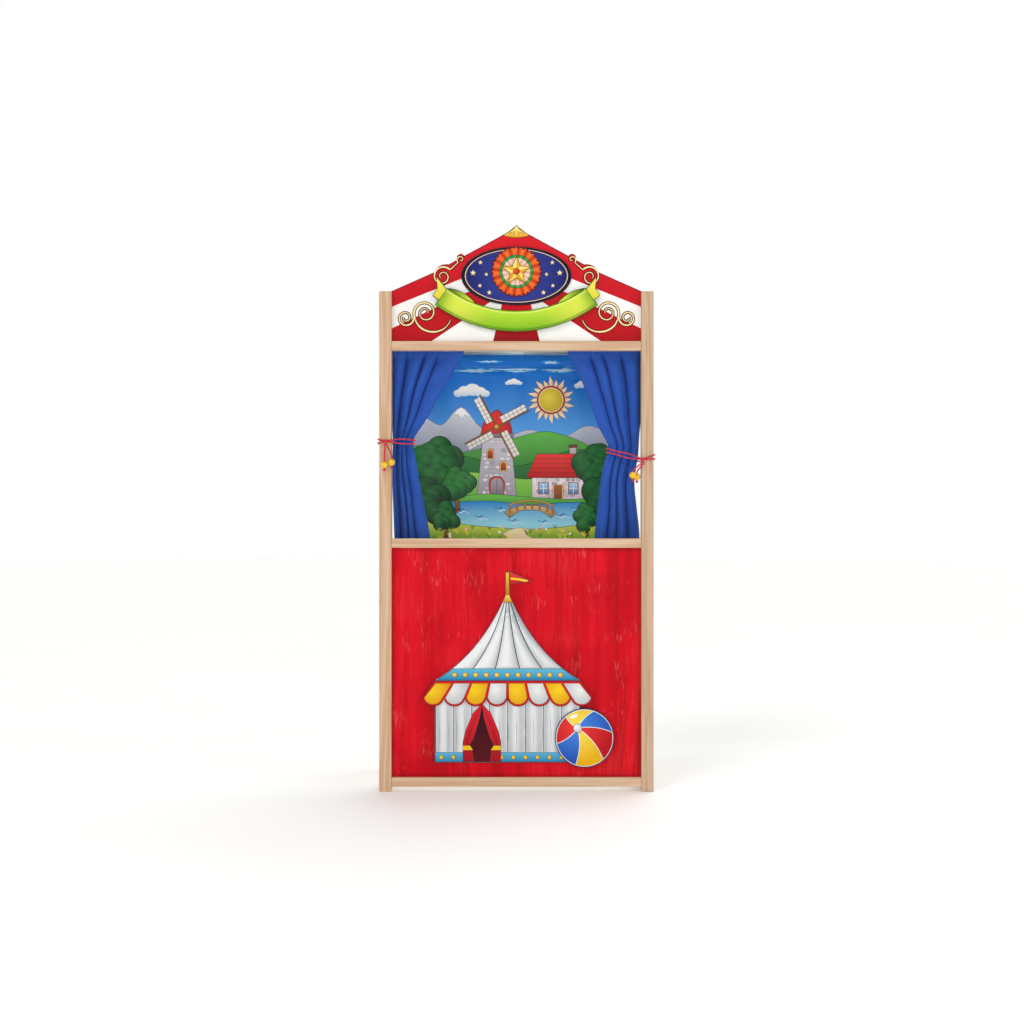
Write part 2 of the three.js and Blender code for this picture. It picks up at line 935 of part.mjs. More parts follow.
function makeBracket(side) {
  const profile = new THREE.ExtrudeGeometry(bracketOutline(), {
    depth: bracketThickness,
    bevelEnabled: false,
    curveSegments: curveSteps,
  });
  profile.rotateX(Math.PI / 2).rotateZ(Math.PI / 2);
  profile.translate(side * bracketX - bracketThickness / 2, 0, 0);
  const bores = screwHeights.flatMap((z) => [
    roundBar("y", 0, bracketBackY + overrun, screwShank / 2 + boltPlay, [
      side * bracketX,
      z,
    ]),
    countersink(side, z),
  ]);
  return cut(
    solidOf(profile),
    ...curtainNotch(side),
    ...backdropNotch(side),
    ...bores,
  );
}

// The cone that a screw head sinks into, a little wider than the head.
function countersink(side, z) {
  const depth = (screwHead - screwShank) / 2;
  const cone = turned([
    [0, -overrun],
    [screwHead / 2 + boltPlay + overrun, -overrun],
    [screwShank / 2 + boltPlay, depth],
    [0, depth],
  ]);
  return cone.rotateX(Math.PI).translate(side * bracketX, bracketBackY, z);
}

function makeBracketScrew(side, z) {
  const shank = screwShank / 2;
  const screw = turned([
    [0, 0],
    [screwHead / 2 - seatGap, 0],
    [shank, screwHead / 2 - shank],
    [shank, screwReach - screwPoint],
    [0, screwReach],
  ]);
  return screw.rotateX(Math.PI).translate(side * bracketX, bracketBackY, z);
}

// A dowel across both brackets with eased ends.
function makeRod(y, z) {
  const half = postInner + bracketInset + bracketThickness + rodOverhang;
  const rod = turned([
    [0, -half],
    [rodRadius - rodEase, -half],
    [rodRadius, rodEase - half],
    [rodRadius, half - rodEase],
    [rodRadius - rodEase, half],
    [0, half],
  ]);
  return rod.rotateZ(-Math.PI / 2).translate(0, y, z);
}

// Cloth

// A closed sheet from a grid: place(u, v, face) gives a point, with face -1 in front and 1 behind.
function sheet(columns, rowShares, place) {
  const rows = rowShares.length - 1;
  const positions = [];
  for (const face of [-1, 1])
    for (const v of rowShares)
      for (let i = 0; i <= columns; i += 1) positions.push(...place(i / columns, v, face));
  const at = (face, i, j) => face * (rows + 1) * (columns + 1) + j * (columns + 1) + i;
  const faces = [];
  const quad = (a, b, c, d) => faces.push(a, b, c, a, c, d);
  for (let j = 0; j < rows; j += 1)
    for (let i = 0; i < columns; i += 1) {
      quad(at(0, i, j + 1), at(0, i + 1, j + 1), at(0, i + 1, j), at(0, i, j));
      quad(at(1, i + 1, j + 1), at(1, i, j + 1), at(1, i, j), at(1, i + 1, j));
    }
  for (let i = 0; i < columns; i += 1) {
    quad(at(0, i, 0), at(0, i + 1, 0), at(1, i + 1, 0), at(1, i, 0));
    quad(at(0, i + 1, rows), at(0, i, rows), at(1, i, rows), at(1, i + 1, rows));
  }
  for (let j = 0; j < rows; j += 1) {
    quad(at(0, 0, j), at(1, 0, j), at(1, 0, j + 1), at(0, 0, j + 1));
    quad(at(1, columns, j), at(0, columns, j), at(0, columns, j + 1), at(1, columns, j + 1));
  }
  const geometry = new THREE.BufferGeometry();
  geometry.setAttribute("position", new THREE.Float32BufferAttribute(positions, 3));
  geometry.setIndex(faces);
  return geometry;
}

// Heights of the rows: round the rod's sleeve in even turns, then evenly down to each stop in turn.
function rowHeights(rodZ, stops) {
  const heights = Array.from({ length: sleeveRows + 1 }, (_, i) => {
    const angle = Math.PI * (sleeveTopShare - (sleeveTurnShare * i) / sleeveRows);
    return rodZ + sleeveRadius * Math.sin(angle);
  });
  heights.push(rodZ - 2 * sleeveRadius);
  for (const { z, rows } of stops) {
    const from = heights.at(-1);
    for (let i = 1; i <= rows; i += 1) heights.push(from + ((z - from) * i) / rows);
  }
  return heights;
}

// Half the sheet's thickness at a height: the sleeve's round, then plain cloth.
function halfThickness(z, rodZ, plain) {
  const rise = z - rodZ;
  const round = Math.sqrt(Math.max(sleeveRadius ** 2 - rise ** 2, 0));
  return rise > -sleeveRadius ? Math.max(round, plain / 2) : plain / 2;
}

// One curtain: gathered on its rod, drawn to the post at its tie, and spread again to its hem.
function makeCurtain(curtain) {
  const { side, waistHalf, folds, foldStartShare } = curtain;
  const hemZ = sillZ - curtainDrop;
  const waistZ = sillZ + curtain.waistRise;
  const topZ = curtainRodZ;
  // How far the curtain has opened from its waist: 0 there, 1 at the rod or the hem.
  const opening = (z) => {
    const above = z > waistZ;
    const span = (above ? topZ - waistZ : waistZ - hemZ) - waistHalf;
    const share = Math.min(Math.max((Math.abs(z - waistZ) - waistHalf) / span, 0), 1);
    return above ? share : share ** spreadShare;
  };
  const between = (z, waist, top, foot) =>
    waist + ((z > waistZ ? top : foot) - waist) * opening(z);
  const place = (u, z, face) => {
    const open = Math.sqrt(opening(z));
    const reach = between(z, curtain.waistReach, curtain.topReach, curtain.footReach);
    const tuck = between(z, curtain.waistTuck, curtain.topTuck, curtain.footTuck);
    const outward = side > 0 ? u : 1 - u;
    const x = side * (postInner - reach + (reach - tuck) * outward);
    const inSleeve = z > curtainRodZ - 2 * sleeveRadius;
    const depth = inSleeve ? sleeveRipple : waistFold + (curtainFold - waistFold) * open;
    const fold = depth * Math.sin((foldStartShare + outward * folds) * Math.PI * 2);
    const plain = waistThickness + (clothThickness - waistThickness) * open;
    const half = halfThickness(z, curtainRodZ, plain);
    return [x, curtainRodDepth + fold + face * half, z];
  };
  const heights = rowHeights(curtainRodZ, [
    { z: waistZ + waistHalf, rows: curtainRows },
    { z: waistZ - waistHalf, rows: 1 },
    { z: hemZ, rows: curtainRows },
  ]);
  const cloth = solidOf(sheet(curtainColumns, heights, place));
  return cut(cloth, rodBore(curtainRodDepth, curtainRodZ));
}

// The bore that a rod runs through in a cloth's sleeve.
function rodBore(depth, z) {
  return roundBar(
    "x",
    -postInner - bracketInset,
    postInner + bracketInset,
    rodRadius + rodPlay,
    [depth, z],
  );
}

function makeBackdrop() {
  const hemZ = sillZ - backdropHemDrop;
  const place = (u, z, face) => {
    const x = backdropHalfWidth * (2 * u - 1);
    const drop = (backdropRodZ - z) / (backdropRodZ - hemZ);
    const inSleeve = z > backdropRodZ - 2 * sleeveRadius;
    const depth = inSleeve ? sleeveRipple : backdropFold * (1 - drop / 2);
    const fold = depth * Math.sin(u * backdropFolds * Math.PI * 2);
    const half = halfThickness(z, backdropRodZ, clothThickness);
    return [x, backdropRodDepth + fold + face * half, z];
  };
  const cloth = joined(
    sheet(
      backdropColumns,
      rowHeights(backdropRodZ, [{ z: hemZ, rows: backdropRows }]),
      place,
    ),
    headingRuffle(),
  );
  return cut(cloth, rodBore(backdropRodDepth, backdropRodZ));
}

// The short ruffle that stands above the backdrop's rod.
function headingRuffle() {
  const heights = [
    backdropRodZ + backdropHeading,
    backdropRodZ + sleeveRadius - clothThickness / 2,
  ];
  return sheet(backdropColumns, heights, (u, z, face) => {
    const x = (backdropHalfWidth - seatGap) * (2 * u - 1);
    const wave = sleeveRipple * Math.sin(u * backdropFolds * 3 * Math.PI * 2);
    return [x, backdropRodDepth + wave + (face * clothThickness) / 2, z];
  });
}

// Curtain ties

// A path that runs straight from point to point, with one step for each.
class Route extends THREE.Curve {
  constructor(points) {
    super();
    this.points = points;
  }

  getPoint(t, target = new THREE.Vector3()) {
    const place = Math.min(Math.max(t, 0), 1) * (this.points.length - 1);
    const i = Math.min(Math.floor(place), this.points.length - 2);
    return target.lerpVectors(this.points[i], this.points[i + 1], place - i);
  }

  getPointAt(u, target) {
    return this.getPoint(u, target);
  }

  getTangentAt(u, target) {
    return this.getTangent(u, target);
  }
}

// A cord along points.
function cordAlong(points) {
  const section = Array.from({ length: cordSides }, (_, i) => {
    const angle = (i / cordSides) * Math.PI * 2;
    return [cordRadius * Math.cos(angle), cordRadius * Math.sin(angle)];
  });
  return new THREE.ExtrudeGeometry(outlineOf(section), {
    steps: points.length - 1,
    extrudePath: new Route(points),
  });
}

// Points of a belt round corners, which run anticlockwise, at a distance from each.
function beltAround(corners, distance) {
  const count = corners.length;
  const heading = (i) => {
    const [ax, ay] = corners[(i + count) % count];
    const [bx, by] = corners[(i + 1 + count) % count];
    return Math.atan2(by - ay, bx - ax);
  };
  return corners.flatMap(([x, y], i) => {
    const from = heading(i - 1) - Math.PI / 2;
    const turn = (heading(i) - heading(i - 1) + Math.PI * 4) % (Math.PI * 2);
    const steps = Math.max(1, Math.round(turn / (Math.PI / 4)));
    return Array.from({ length: steps + 1 }, (_, k) => {
      const angle = from + (turn * k) / steps;
      return [x + distance * Math.cos(angle), y + distance * Math.sin(angle)];
    });
  });
}

// Where a tie's knot lies: on the front of the post.
function knotPlace({ side, knotInset, knotRise }) {
  return new THREE.Vector3(
    side * (postInner - knotInset),
    -cordRadius - cordPlay,
    sillZ + knotRise,
  );
}

// The cord round post and curtain: two turns that spread from one knot.
function makeTie(tie, curtain) {
  const { side } = tie;
  const { x: knotX, y: knotY, z: knotZ } = knotPlace(tie);
  const inner = postInner - curtain.waistReach;
  const half = waistThickness / 2 + waistFold;
  const corners = [
    [postOuter, 0],
    [postOuter, postSide],
    [postInner - curtain.waistTuck, curtainRodDepth + half],
    [inner, curtainRodDepth + half],
    [inner, curtainRodDepth - half],
    [postInner, 0],
  ];
  const belt = beltAround(corners, cordRadius + cordPlay);
  const knotReach = side * knotX;
  const rise = (x) =>
    x < knotReach
      ? (tie.innerRise * (knotReach - x)) / (knotReach - inner)
      : (tie.outerRise * (x - knotReach)) / (postOuter - knotReach);
  const start = knotReach + cordRadius;
  const end = knotReach - cordRadius;
  const after = belt.findIndex(([x, y]) => y < 0 && x > knotReach);
  const ordered = [...belt.slice(after), ...belt.slice(0, after)];
  const between = ordered.filter(([x, y]) => y > 0 || x > start || x < end);
  const turns = [1, -1].map((way) => {
    const route = [[start, knotY], ...between, [end, knotY]].map(([x, y], i, all) => {
      const spread = Math.sqrt(Math.sin((Math.PI * i) / (all.length - 1)));
      const z = knotZ + rise(x) + (way * spread * turnSpread) / 2;
      return new THREE.Vector3(side * x, y, z);
    });
    return cordAlong(route);
  });
  const knot = new THREE.SphereGeometry(knotRadius, cordSides, cordSides / 2);
  knot.translate(knotX, -knotRadius - seatGap, knotZ);
  return joined(...turns, knot);
}

// One end of a tie, with the small knot that holds its bead.
function makeTail(tie, { route }) {
  const knot = knotPlace(tie);
  const places = route.map((offset) => new THREE.Vector3(...offset).add(knot));
  const curve = new THREE.CatmullRomCurve3(places, false, "centripetal");
  const stop = new THREE.SphereGeometry(endKnotRadius, cordSides, cordSides / 2);
  stop.translate(...places.at(-1));
  return joined(cordAlong(curve.getPoints(tailSteps)), stop);
}

// A round bead with a bore down its middle.
function makeBead(tie, { route }) {
  const arcSteps = smallSteps / 2;
  const reach = Math.acos(beadBore / beadRadius);
  const arc = Array.from({ length: arcSteps + 1 }, (_, i) => {
    const angle = -reach + (2 * reach * i) / arcSteps;
    return [beadRadius * Math.cos(angle), beadRadius * Math.sin(angle)];
  });
  const geometry = turned([...arc, arc[0]]);
  const knot = knotPlace(tie);
  geometry.rotateX(Math.PI / 2);
  return geometry.translate(...knot.add(new THREE.Vector3(...route.at(-2))));
}

// Wings and their hinges

// A mortise or tenon in a wing's stile: a block along Y from a place, at a rail's foot.
function tenon(side, fromY, toY, railFoot, gap) {
  const middle = side * (postInner + wingThickness / 2);
  const half = tenonThickness / 2 + gap;
  const foot = railFoot + (wingBar - tenonWidth) / 2 - gap;
  return block([middle - half, fromY, foot], [middle + half, toY, foot + tenonWidth + 2 * gap]);
}

const wingRailFoots = { bottom: wingRise, top: wingHeight - wingBar };
const wingBackY = wingFrontY + wingLength;
const stileGap = wingBar + seatGap;

// A stile of a wing; the rear one stands on the floor. Its mortises face the rails.
function makeStile(side, front) {
  const foot = front ? wingRise : 0;
  const y = front ? wingFrontY : wingBackY - wingBar;
  const x = side > 0 ? postInner : -postInner - wingThickness;
  const stile = solidOf(
    timber("z", [x, y, foot], [wingThickness, wingBar, wingHeight - foot], wingEase),
  );
  const face = front ? wingFrontY + wingBar : wingBackY - wingBar;
  const inward = front ? -1 : 1;
  const mortises = Object.values(wingRailFoots).map((railFoot) =>
    tenon(
      side,
      face + inward * (tenonLength + seatGap),
      face - inward * overrun,
      railFoot,
      seatGap,
    ),
  );
  return cut(stile, ...mortises);
}

function makeWingRail(side, railFoot) {
  const from = wingFrontY + stileGap;
  const to = wingBackY - stileGap;
  const x = side > 0 ? postInner : -postInner - wingThickness;
  return joined(
    timber("y", [x, from, railFoot], [wingThickness, to - from, wingBar], wingEase),
    tenon(side, from - tenonLength, to + tenonLength, railFoot, 0),
  );
}

const leafThickness = (hingeSpace - leafPlay) / 2 - seatGap;
const hingeTop = hingeFoot + knuckleCount * knucklePitch;

// A hinge leaf with every other knuckle: even ones on the post, odd ones on the wing.
function makeLeaf(side, onPost) {
  const nearY = onPost ? postSide + seatGap : wingFrontY - seatGap - leafThickness;
  const farY = nearY + leafThickness;
  const plateX = hingeX + knuckleRadius + seatGap;
  const plate = block(
    [side * plateX, nearY, hingeFoot],
    [side * (plateX + leafWidth), farY, hingeTop],
  );
  const knuckles = [];
  for (let i = onPost ? 0 : 1; i < knuckleCount; i += 2) {
    const foot = hingeFoot + i * knucklePitch + knuckleGap / 2;
    const top = foot + knucklePitch - knuckleGap;
    knuckles.push(roundBar("z", foot, top, knuckleRadius, [side * hingeX, hingeY]));
    knuckles.push(
      block([side * hingeX, nearY, foot], [side * (plateX + overrun), farY, top]),
    );
  }
  const holeX = side * (plateX + (2 * leafWidth) / 3);
  const holes = Array.from({ length: holesOnLeaf }, (_, i) => {
    const z = hingeFoot + ((i + 1 / 2) * (hingeTop - hingeFoot)) / holesOnLeaf;
    return roundBar("y", nearY - overrun, farY + overrun, leafHole / 2, [holeX, z]);
  });
  const bore = roundBar(
    "z",
    hingeFoot - overrun,
    hingeTop + overrun,
    pinRadius + pinPlay,
    [side * hingeX, hingeY],
  );
  return cut(joined(plate, ...knuckles), bore, ...holes);
}

// Assembly

for (const [name, side] of Object.entries(sides))
  add(`post_${name}`, makePost(side), materials.pine);

const panelGroove = { front: panelFront, thickness: panelThickness };
const headerGroove = { front: headerFront, thickness: headerThickness };
const rails = {
  bottom: [{ up: true, ...panelGroove }],
  middle: [{ up: false, ...panelGroove }],
  top: [{ up: true, ...headerGroove }],
};
Object.entries(rails).forEach(([name, grooves], i) => {
  add(`${name}_rail`, makeRail(railFoots[i], grooves), materials.pine);
  for (const [sideName, side] of Object.entries(sides))
    add(`frame_bolt_${name}_${sideName}`, makeBolt(side, boltHeights[i]), materials.zinc);
});

add("front_panel", frontPanel, materials.redPly);
add("header_board", header, materials.gable);
add("header_medallion", medallion, materials.medallion);
add("header_ribbon", makeRibbon(), materials.ribbon);
add(
  "header_rosette",
  board(rosetteOutline(), reliefThickness, overlayFront, reliefEase / 2),
  materials.rosette,
);
add(
  "header_star",
  board(starOutline(), starThickness, starFront, reliefEase / 2),
  materials.gold,
);
for (const [name, side] of Object.entries(sides)) {
  const lower = [lowerScrollX, lowerScrollRise, lowerScrollSize];
  const upper = [upperScrollX, upperScrollRise, upperScrollSize];
  add(
    `header_scroll_${name}`,
    makeScroll(side, lower, lowerSpiralShares, lowerStemShares),
    materials.gold,
  );
  add(
    `header_curl_${name}`,
    makeScroll(side, upper, upperSpiralShares, upperStemShares),
    materials.gold,
  );
}

add("emblem_tent", board(tentOutline(), emblemThickness, emblemFront), materials.canvas);
add(
  "emblem_valance",
  board(valanceOutline(), emblemOverlay, emblemOverlayFront),
  materials.valance,
);
add("emblem_ball", makeBall(), materials.ball);

for (const [name, side] of Object.entries(sides)) {
  add(`bracket_${name}`, makeBracket(side), materials.plywood);
  screwHeights.forEach((z, i) => {
    const level = i ? "upper" : "lower";
    add(`bracket_screw_${level}_${name}`, makeBracketScrew(side, z), materials.zinc);
  });
}
add("curtain_rod", makeRod(curtainRodDepth, curtainRodZ), materials.beech);
add("backdrop_rod", makeRod(backdropRodDepth, backdropRodZ), materials.beech);
add("curtain_left", makeCurtain(leftCurtain), materials.curtain);
add("curtain_right", makeCurtain(rightCurtain), materials.curtain);
add("backdrop_cloth", makeBackdrop(), materials.backdrop);

for (const [name, tie, curtain] of [
  ["left", leftTie, leftCurtain],
  ["right", rightTie, rightCurtain],
]) {
  add(`tie_${name}`, makeTie(tie, curtain), materials.cord);
  tie.tails.forEach((tail, i) => {
    add(`tie_tail_${name}_${i + 1}`, makeTail(tie, tail), materials.cord);
    add(`tie_bead_${name}_${i + 1}`, makeBead(tie, tail), materials.bead);
  });
}

for (const [name, side] of Object.entries(sides)) {
  add(`${name}_wing_front_stile`, makeStile(side, true), materials.pine);
  add(`${name}_wing_rear_stile`, makeStile(side, false), materials.pine);
  for (const [level, foot] of Object.entries(wingRailFoots))
    add(`${name}_wing_${level}_rail`, makeWingRail(side, foot), materials.pine);
  add(`${name}_hinge_post_leaf`, makeLeaf(side, true), materials.zinc);
  add(`${name}_hinge_wing_leaf`, makeLeaf(side, false), materials.zinc);
  add(
    `${name}_hinge_pin`,
    roundBar("z", hingeFoot, hingeTop, pinRadius, [side * hingeX, hingeY]),
    materials.zinc,
  );
}

// The theatre, with its origin on the floor in the middle of its frame
const theatre = new THREE.Group();
frame.position.set(0, -frameDepth / 2, 0);
theatre.add(frame);

export default theatre;
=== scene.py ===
# %% [markdown]
# # A puppet theatre stand
# A slim pine frame carries a printed gable, a red panel, two tied-back curtains and a printed
# backdrop, and stands on two low wings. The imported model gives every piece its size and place. The
# cells below dress it: they add what wood, cloth, cord and print look like.

# %% Load the frame
import random
from math import asin, atan2, ceil, cos, dist, exp, hypot, pi, radians, sin, sqrt

import bpy
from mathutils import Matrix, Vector
from mathutils.geometry import delaunay_2d_cdt


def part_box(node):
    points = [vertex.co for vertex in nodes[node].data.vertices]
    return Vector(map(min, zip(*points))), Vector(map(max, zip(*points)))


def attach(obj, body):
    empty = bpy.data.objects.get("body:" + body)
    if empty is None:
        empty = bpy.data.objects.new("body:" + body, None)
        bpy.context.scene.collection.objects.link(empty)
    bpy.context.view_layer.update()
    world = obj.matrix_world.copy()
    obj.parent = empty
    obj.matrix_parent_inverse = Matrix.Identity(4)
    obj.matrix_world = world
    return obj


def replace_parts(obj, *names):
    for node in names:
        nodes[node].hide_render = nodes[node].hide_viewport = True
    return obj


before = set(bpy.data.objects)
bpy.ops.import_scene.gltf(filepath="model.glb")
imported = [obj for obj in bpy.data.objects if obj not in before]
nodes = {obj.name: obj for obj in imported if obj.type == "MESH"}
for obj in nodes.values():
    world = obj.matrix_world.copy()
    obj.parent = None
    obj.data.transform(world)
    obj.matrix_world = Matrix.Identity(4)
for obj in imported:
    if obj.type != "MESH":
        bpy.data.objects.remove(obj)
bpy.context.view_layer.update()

MM = 0.001
FULL_TURN = 2 * pi
scene = bpy.context.scene

post_low, post_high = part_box("post_right")
front_y = post_low[1]
post_side = post_high[0] - post_low[0]
post_inner = post_low[0]
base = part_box("top_rail")[1][2] / MM
print("posts", round(post_side / MM, 1), "mm square; gable from", round(base, 1), "mm up")

# %% [markdown]
# ## Camera
# The stand was photographed square on from about 3 m, with the lens at half its height. A photograph
# like that is rebuilt from one ratio: how many millimetres one pixel of the picture covers at the
# posts' front. A small shift puts the stand where the picture has it, a little off the middle.

# %% Camera
picture_side = 1024
mm_per_pixel = 2.024
distance = 3.0
eye_height = 0.575
middle_pixel = (516.4, 507.9)

eye = bpy.data.cameras.new("eye")
eye.sensor_width = 36
eye.lens = distance / MM / mm_per_pixel / picture_side * eye.sensor_width
eye.shift_x = (picture_side / 2 - middle_pixel[0]) / picture_side
eye.shift_y = (middle_pixel[1] - picture_side / 2) / picture_side
camera = bpy.data.objects.new("camera", eye)
camera.location = (0, front_y - distance, eye_height)
camera.rotation_euler = (radians(90), 0, 0)
scene.collection.objects.link(camera)
scene.camera = camera
print("lens", round(eye.lens, 1), "mm")

# %% [markdown]
# ## Helpers for meshes
# Every piece ends as a plain mesh whose object sits at the origin. Sizes are easier to read in
# millimetres, measured from the floor, the stand's middle and the posts' front face, so one function
# turns such a place into the scene's metres.


# %% Mesh helpers
def place(x, y, z):
    """A place in millimetres, with y behind the posts' front face, in the scene's metres."""
    return Vector((x * MM, front_y + y * MM, z * MM))


def front_of(node):
    """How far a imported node's front lies behind the posts' front, in millimetres."""
    return (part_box(node)[0][1] - front_y) / MM


def mesh_piece(name, points, faces, material, body="front_frame"):
    """A plain, smoothly shaded mesh piece that rides on a body."""
    mesh = bpy.data.meshes.new(name)
    mesh.from_pydata([tuple(p) for p in points], [], faces)
    mesh.update()
    mesh.polygons.foreach_set("use_smooth", [True] * len(mesh.polygons))
    mesh.materials.append(material)
    piece = bpy.data.objects.new(name, mesh)
    scene.collection.objects.link(piece)
    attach(piece, body)
    return piece


def add_uv(piece, uv_of_vertex):
    """A UV map from one pair of numbers for each vertex."""
    layer = piece.data.uv_layers.new(name="surface")
    for loop in piece.data.loops:
        layer.data[loop.index].uv = uv_of_vertex[loop.vertex_index]


print("the posts' front meets the floor at", [round(v, 3) for v in place(0, 0, 0)])


# %% Colours
def srgb(code):
    """A colour code such as #d81c2a as linear red, green and blue."""
    values = [int(code[i : i + 2], 16) / 255 for i in (1, 3, 5)]
    return tuple(v / 12.92 if v < 0.04045 else ((v + 0.055) / 1.055) ** 2.4 for v in values)


def blend_of(a, b, share):
    """A colour between two linear colours."""
    share = min(max(share, 0), 1)
    return tuple(p + (q - p) * share for p, q in zip(a, b))


print("middle grey is", round(srgb("#808080")[0], 3), "of the light")

# %% [markdown]
# ## Helpers for materials
# A material here is a small network of nodes. One function adds a node, sets it and wires it, so a
# material reads like a recipe. What several materials share, such as grain and weave, is a group that
# is built once.


# %% Nodes and arithmetic
def feed(tree, socket, value):
    """Sets a socket to a value or to a colour code, or links another node's output to it."""
    if isinstance(value, bpy.types.NodeSocket):
        tree.links.new(value, socket)
    elif isinstance(value, str) and value.startswith("#"):
        socket.default_value = (*srgb(value), 1)
    else:
        socket.default_value = value


def feed_all(tree, node, sockets):
    """Feeds sockets that are named like Base_Color, or numbered like _2."""
    for key, value in sockets.items():
        title = int(key[1:]) if key[1:].isdigit() else key.replace("_", " ")
        feed(tree, node.inputs[title], value)


def add(tree, kind, settings=None, out=0, **sockets):
    """Adds a node, a shader node unless its kind is written in full, and returns one output."""
    node = tree.nodes.new(kind if "Node" in kind else "ShaderNode" + kind)
    for key, value in (settings or {}).items():
        setattr(node, key, value)
    feed_all(tree, node, sockets)
    return node.outputs[out]


def maths(tree, operation, a, b=0.0, c=0.0):
    """One arithmetic step."""
    return add(tree, "Math", {"operation": operation}, _0=a, _1=b, _2=c)


def times(tree, value, share, plus=None):
    """A value times a share, with something added where it is given."""
    if plus is None:
        return maths(tree, "MULTIPLY", value, share)
    return maths(tree, "MULTIPLY_ADD", value, share, plus)


def mixed(tree, share, a, b, blend="MIX"):
    """A colour between two colours."""
    return add(tree, "Mix", {"data_type": "RGBA", "blend_type": blend}, out=2, _0=share, _6=a, _7=b)


def ramp(tree, value, stops, smooth=False):
    """A colour ramp from pairs of a place and a grey, a linear colour or a colour code."""
    node = tree.nodes.new("ShaderNodeValToRGB")
    node.color_ramp.interpolation = "EASE" if smooth else "LINEAR"
    while len(node.color_ramp.elements) < len(stops):
        node.color_ramp.elements.new(0.5)
    for element, (where, colour) in zip(node.color_ramp.elements, stops):
        element.position = where
        colour = srgb(colour) if isinstance(colour, str) else colour
        element.color = (*colour, 1) if isinstance(colour, tuple) else (colour, colour, colour, 1)
    tree.links.new(value, node.inputs[0])
    return node.outputs[0]


print("a socket takes a number, a colour code or another node's output")


# %% Groups and materials
def group_of(name, inputs, outputs, kind="Shader"):
    """An empty node group with named inputs and outputs."""
    tree = bpy.data.node_groups.new(name, kind + "NodeTree")
    for title, socket_kind, value in inputs:
        socket = tree.interface.new_socket(title, in_out="INPUT", socket_type="NodeSocket" + socket_kind)
        if value is not None:
            socket.default_value = value
    for title, socket_kind in outputs:
        tree.interface.new_socket(title, in_out="OUTPUT", socket_type="NodeSocket" + socket_kind)
    return tree, tree.nodes.new("NodeGroupInput").outputs, tree.nodes.new("NodeGroupOutput").inputs


def use(tree, group, **sockets):
    """Places a node group in a material and returns its outputs by name."""
    node = tree.nodes.new("ShaderNodeGroup")
    node.node_tree = group
    feed_all(tree, node, sockets)
    return node.outputs


def new_material(name, **constants):
    """A material with one Principled shader, and its constants set on the shader's own sockets."""
    material = bpy.data.materials.new(name)
    constants.setdefault("Specular_IOR_Level", 0.3)
    material.use_nodes = True
    tree = material.node_tree
    shader = tree.nodes["Principled BSDF"]
    feed_all(tree, shader, constants)
    return material, tree, shader.inputs


def wire(tree, shader, colour, roughness=None, height=None, depth=0.0005, strength=1.0):
    """Feeds a Principled shader's colour, roughness and bump."""
    tree.links.new(colour, shader["Base Color"])
    if roughness is not None:
        tree.links.new(roughness, shader["Roughness"])
    if height is not None:
        bump = add(tree, "Bump", Strength=strength, Distance=depth, Height=height)
        tree.links.new(bump, shader["Normal"])


def dress(material, *names):
    """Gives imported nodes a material."""
    for name in names:
        nodes[name].data.materials.clear()
        nodes[name].data.materials.append(material)


print("packed nodes to dress:", len(nodes))


# %% Places and patterns
def object_place(tree):
    return add(tree, "TexCoord", out=3)


def split(tree, vector):
    """The three numbers of a vector."""
    node = tree.nodes.new("ShaderNodeSeparateXYZ")
    tree.links.new(vector, node.inputs[0])
    return node.outputs


def way_it_looks(tree):
    """The x, y and z of the direction that the piece's surface looks in."""
    return split(tree, add(tree, "TexCoord", out=1))


def stretched(tree, vector, *shares):
    """A place squeezed along some axes: a small share draws a pattern out along that axis."""
    return add(tree, "VectorMath", {"operation": "MULTIPLY"}, _0=vector, _1=shares)


def noise(tree, vector, scale, detail=2.0, distortion=0.0):
    return add(tree, "TexNoise", Vector=vector, Scale=scale, Detail=detail, Distortion=distortion)


def turned_place(tree, grain):
    """Object coordinates with the piece's grain along Z."""
    here = object_place(tree)
    if grain == "z":
        return here
    x, y, z = split(tree, here)
    order = (y, z, x) if grain == "x" else (z, x, y)
    return add(tree, "CombineXYZ", _0=order[0], _1=order[1], _2=order[2])


print("patterns run on the object's own coordinates")

# %% [markdown]
# ## Wood grain
# Pine, plywood and beech are the same idea with other numbers: wide, slow bands of growth, fine
# fibres along the timber, and now and then a darker streak. The group stretches noise along the
# grain, so it works on any piece once the grain runs along Z.


# %% Grain group
grain_group, given, made = group_of(
    "Timber grain",
    [
        ("Vector", "Vector", None),
        ("Light", "Color", (0.8, 0.6, 0.4, 1)),
        ("Dark", "Color", (0.6, 0.4, 0.25, 1)),
        ("Figure", "Float", 45.0),
        ("Fibre", "Float", 700.0),
        ("Streaks", "Float", 0.35),
        ("Base roughness", "Float", 0.5),
    ],
    [("Color", "Color"), ("Roughness", "Float"), ("Height", "Float")],
)
tree = grain_group
stretch = stretched(tree, given["Vector"], 1, 1, 0.045)
figure = noise(tree, stretch, given["Figure"], 3.0, 0.6)
rings = times(tree, maths(tree, "SINE", times(tree, figure, 26.0)), 0.5, 0.5)
fibre = noise(tree, stretched(tree, given["Vector"], 1, 1, 0.02), given["Fibre"])
slow = noise(tree, stretch, 12.0)
tone = times(tree, rings, 0.34, times(tree, fibre, 0.42))
share = ramp(tree, times(tree, slow, 0.5, tone), [(0.36, 0.0), (0.92, 1.0)])
body = mixed(tree, share, given["Dark"], given["Light"])
streak_mask = times(tree, ramp(tree, fibre, [(0.26, 1.0), (0.42, 0.0)]), given["Streaks"])
darker = mixed(tree, 1.0, given["Dark"], (0.72, 0.66, 0.6, 1), "MULTIPLY")
tree.links.new(mixed(tree, streak_mask, body, darker), made["Color"])
tree.links.new(times(tree, fibre, 0.16, given["Base roughness"]), made["Roughness"])
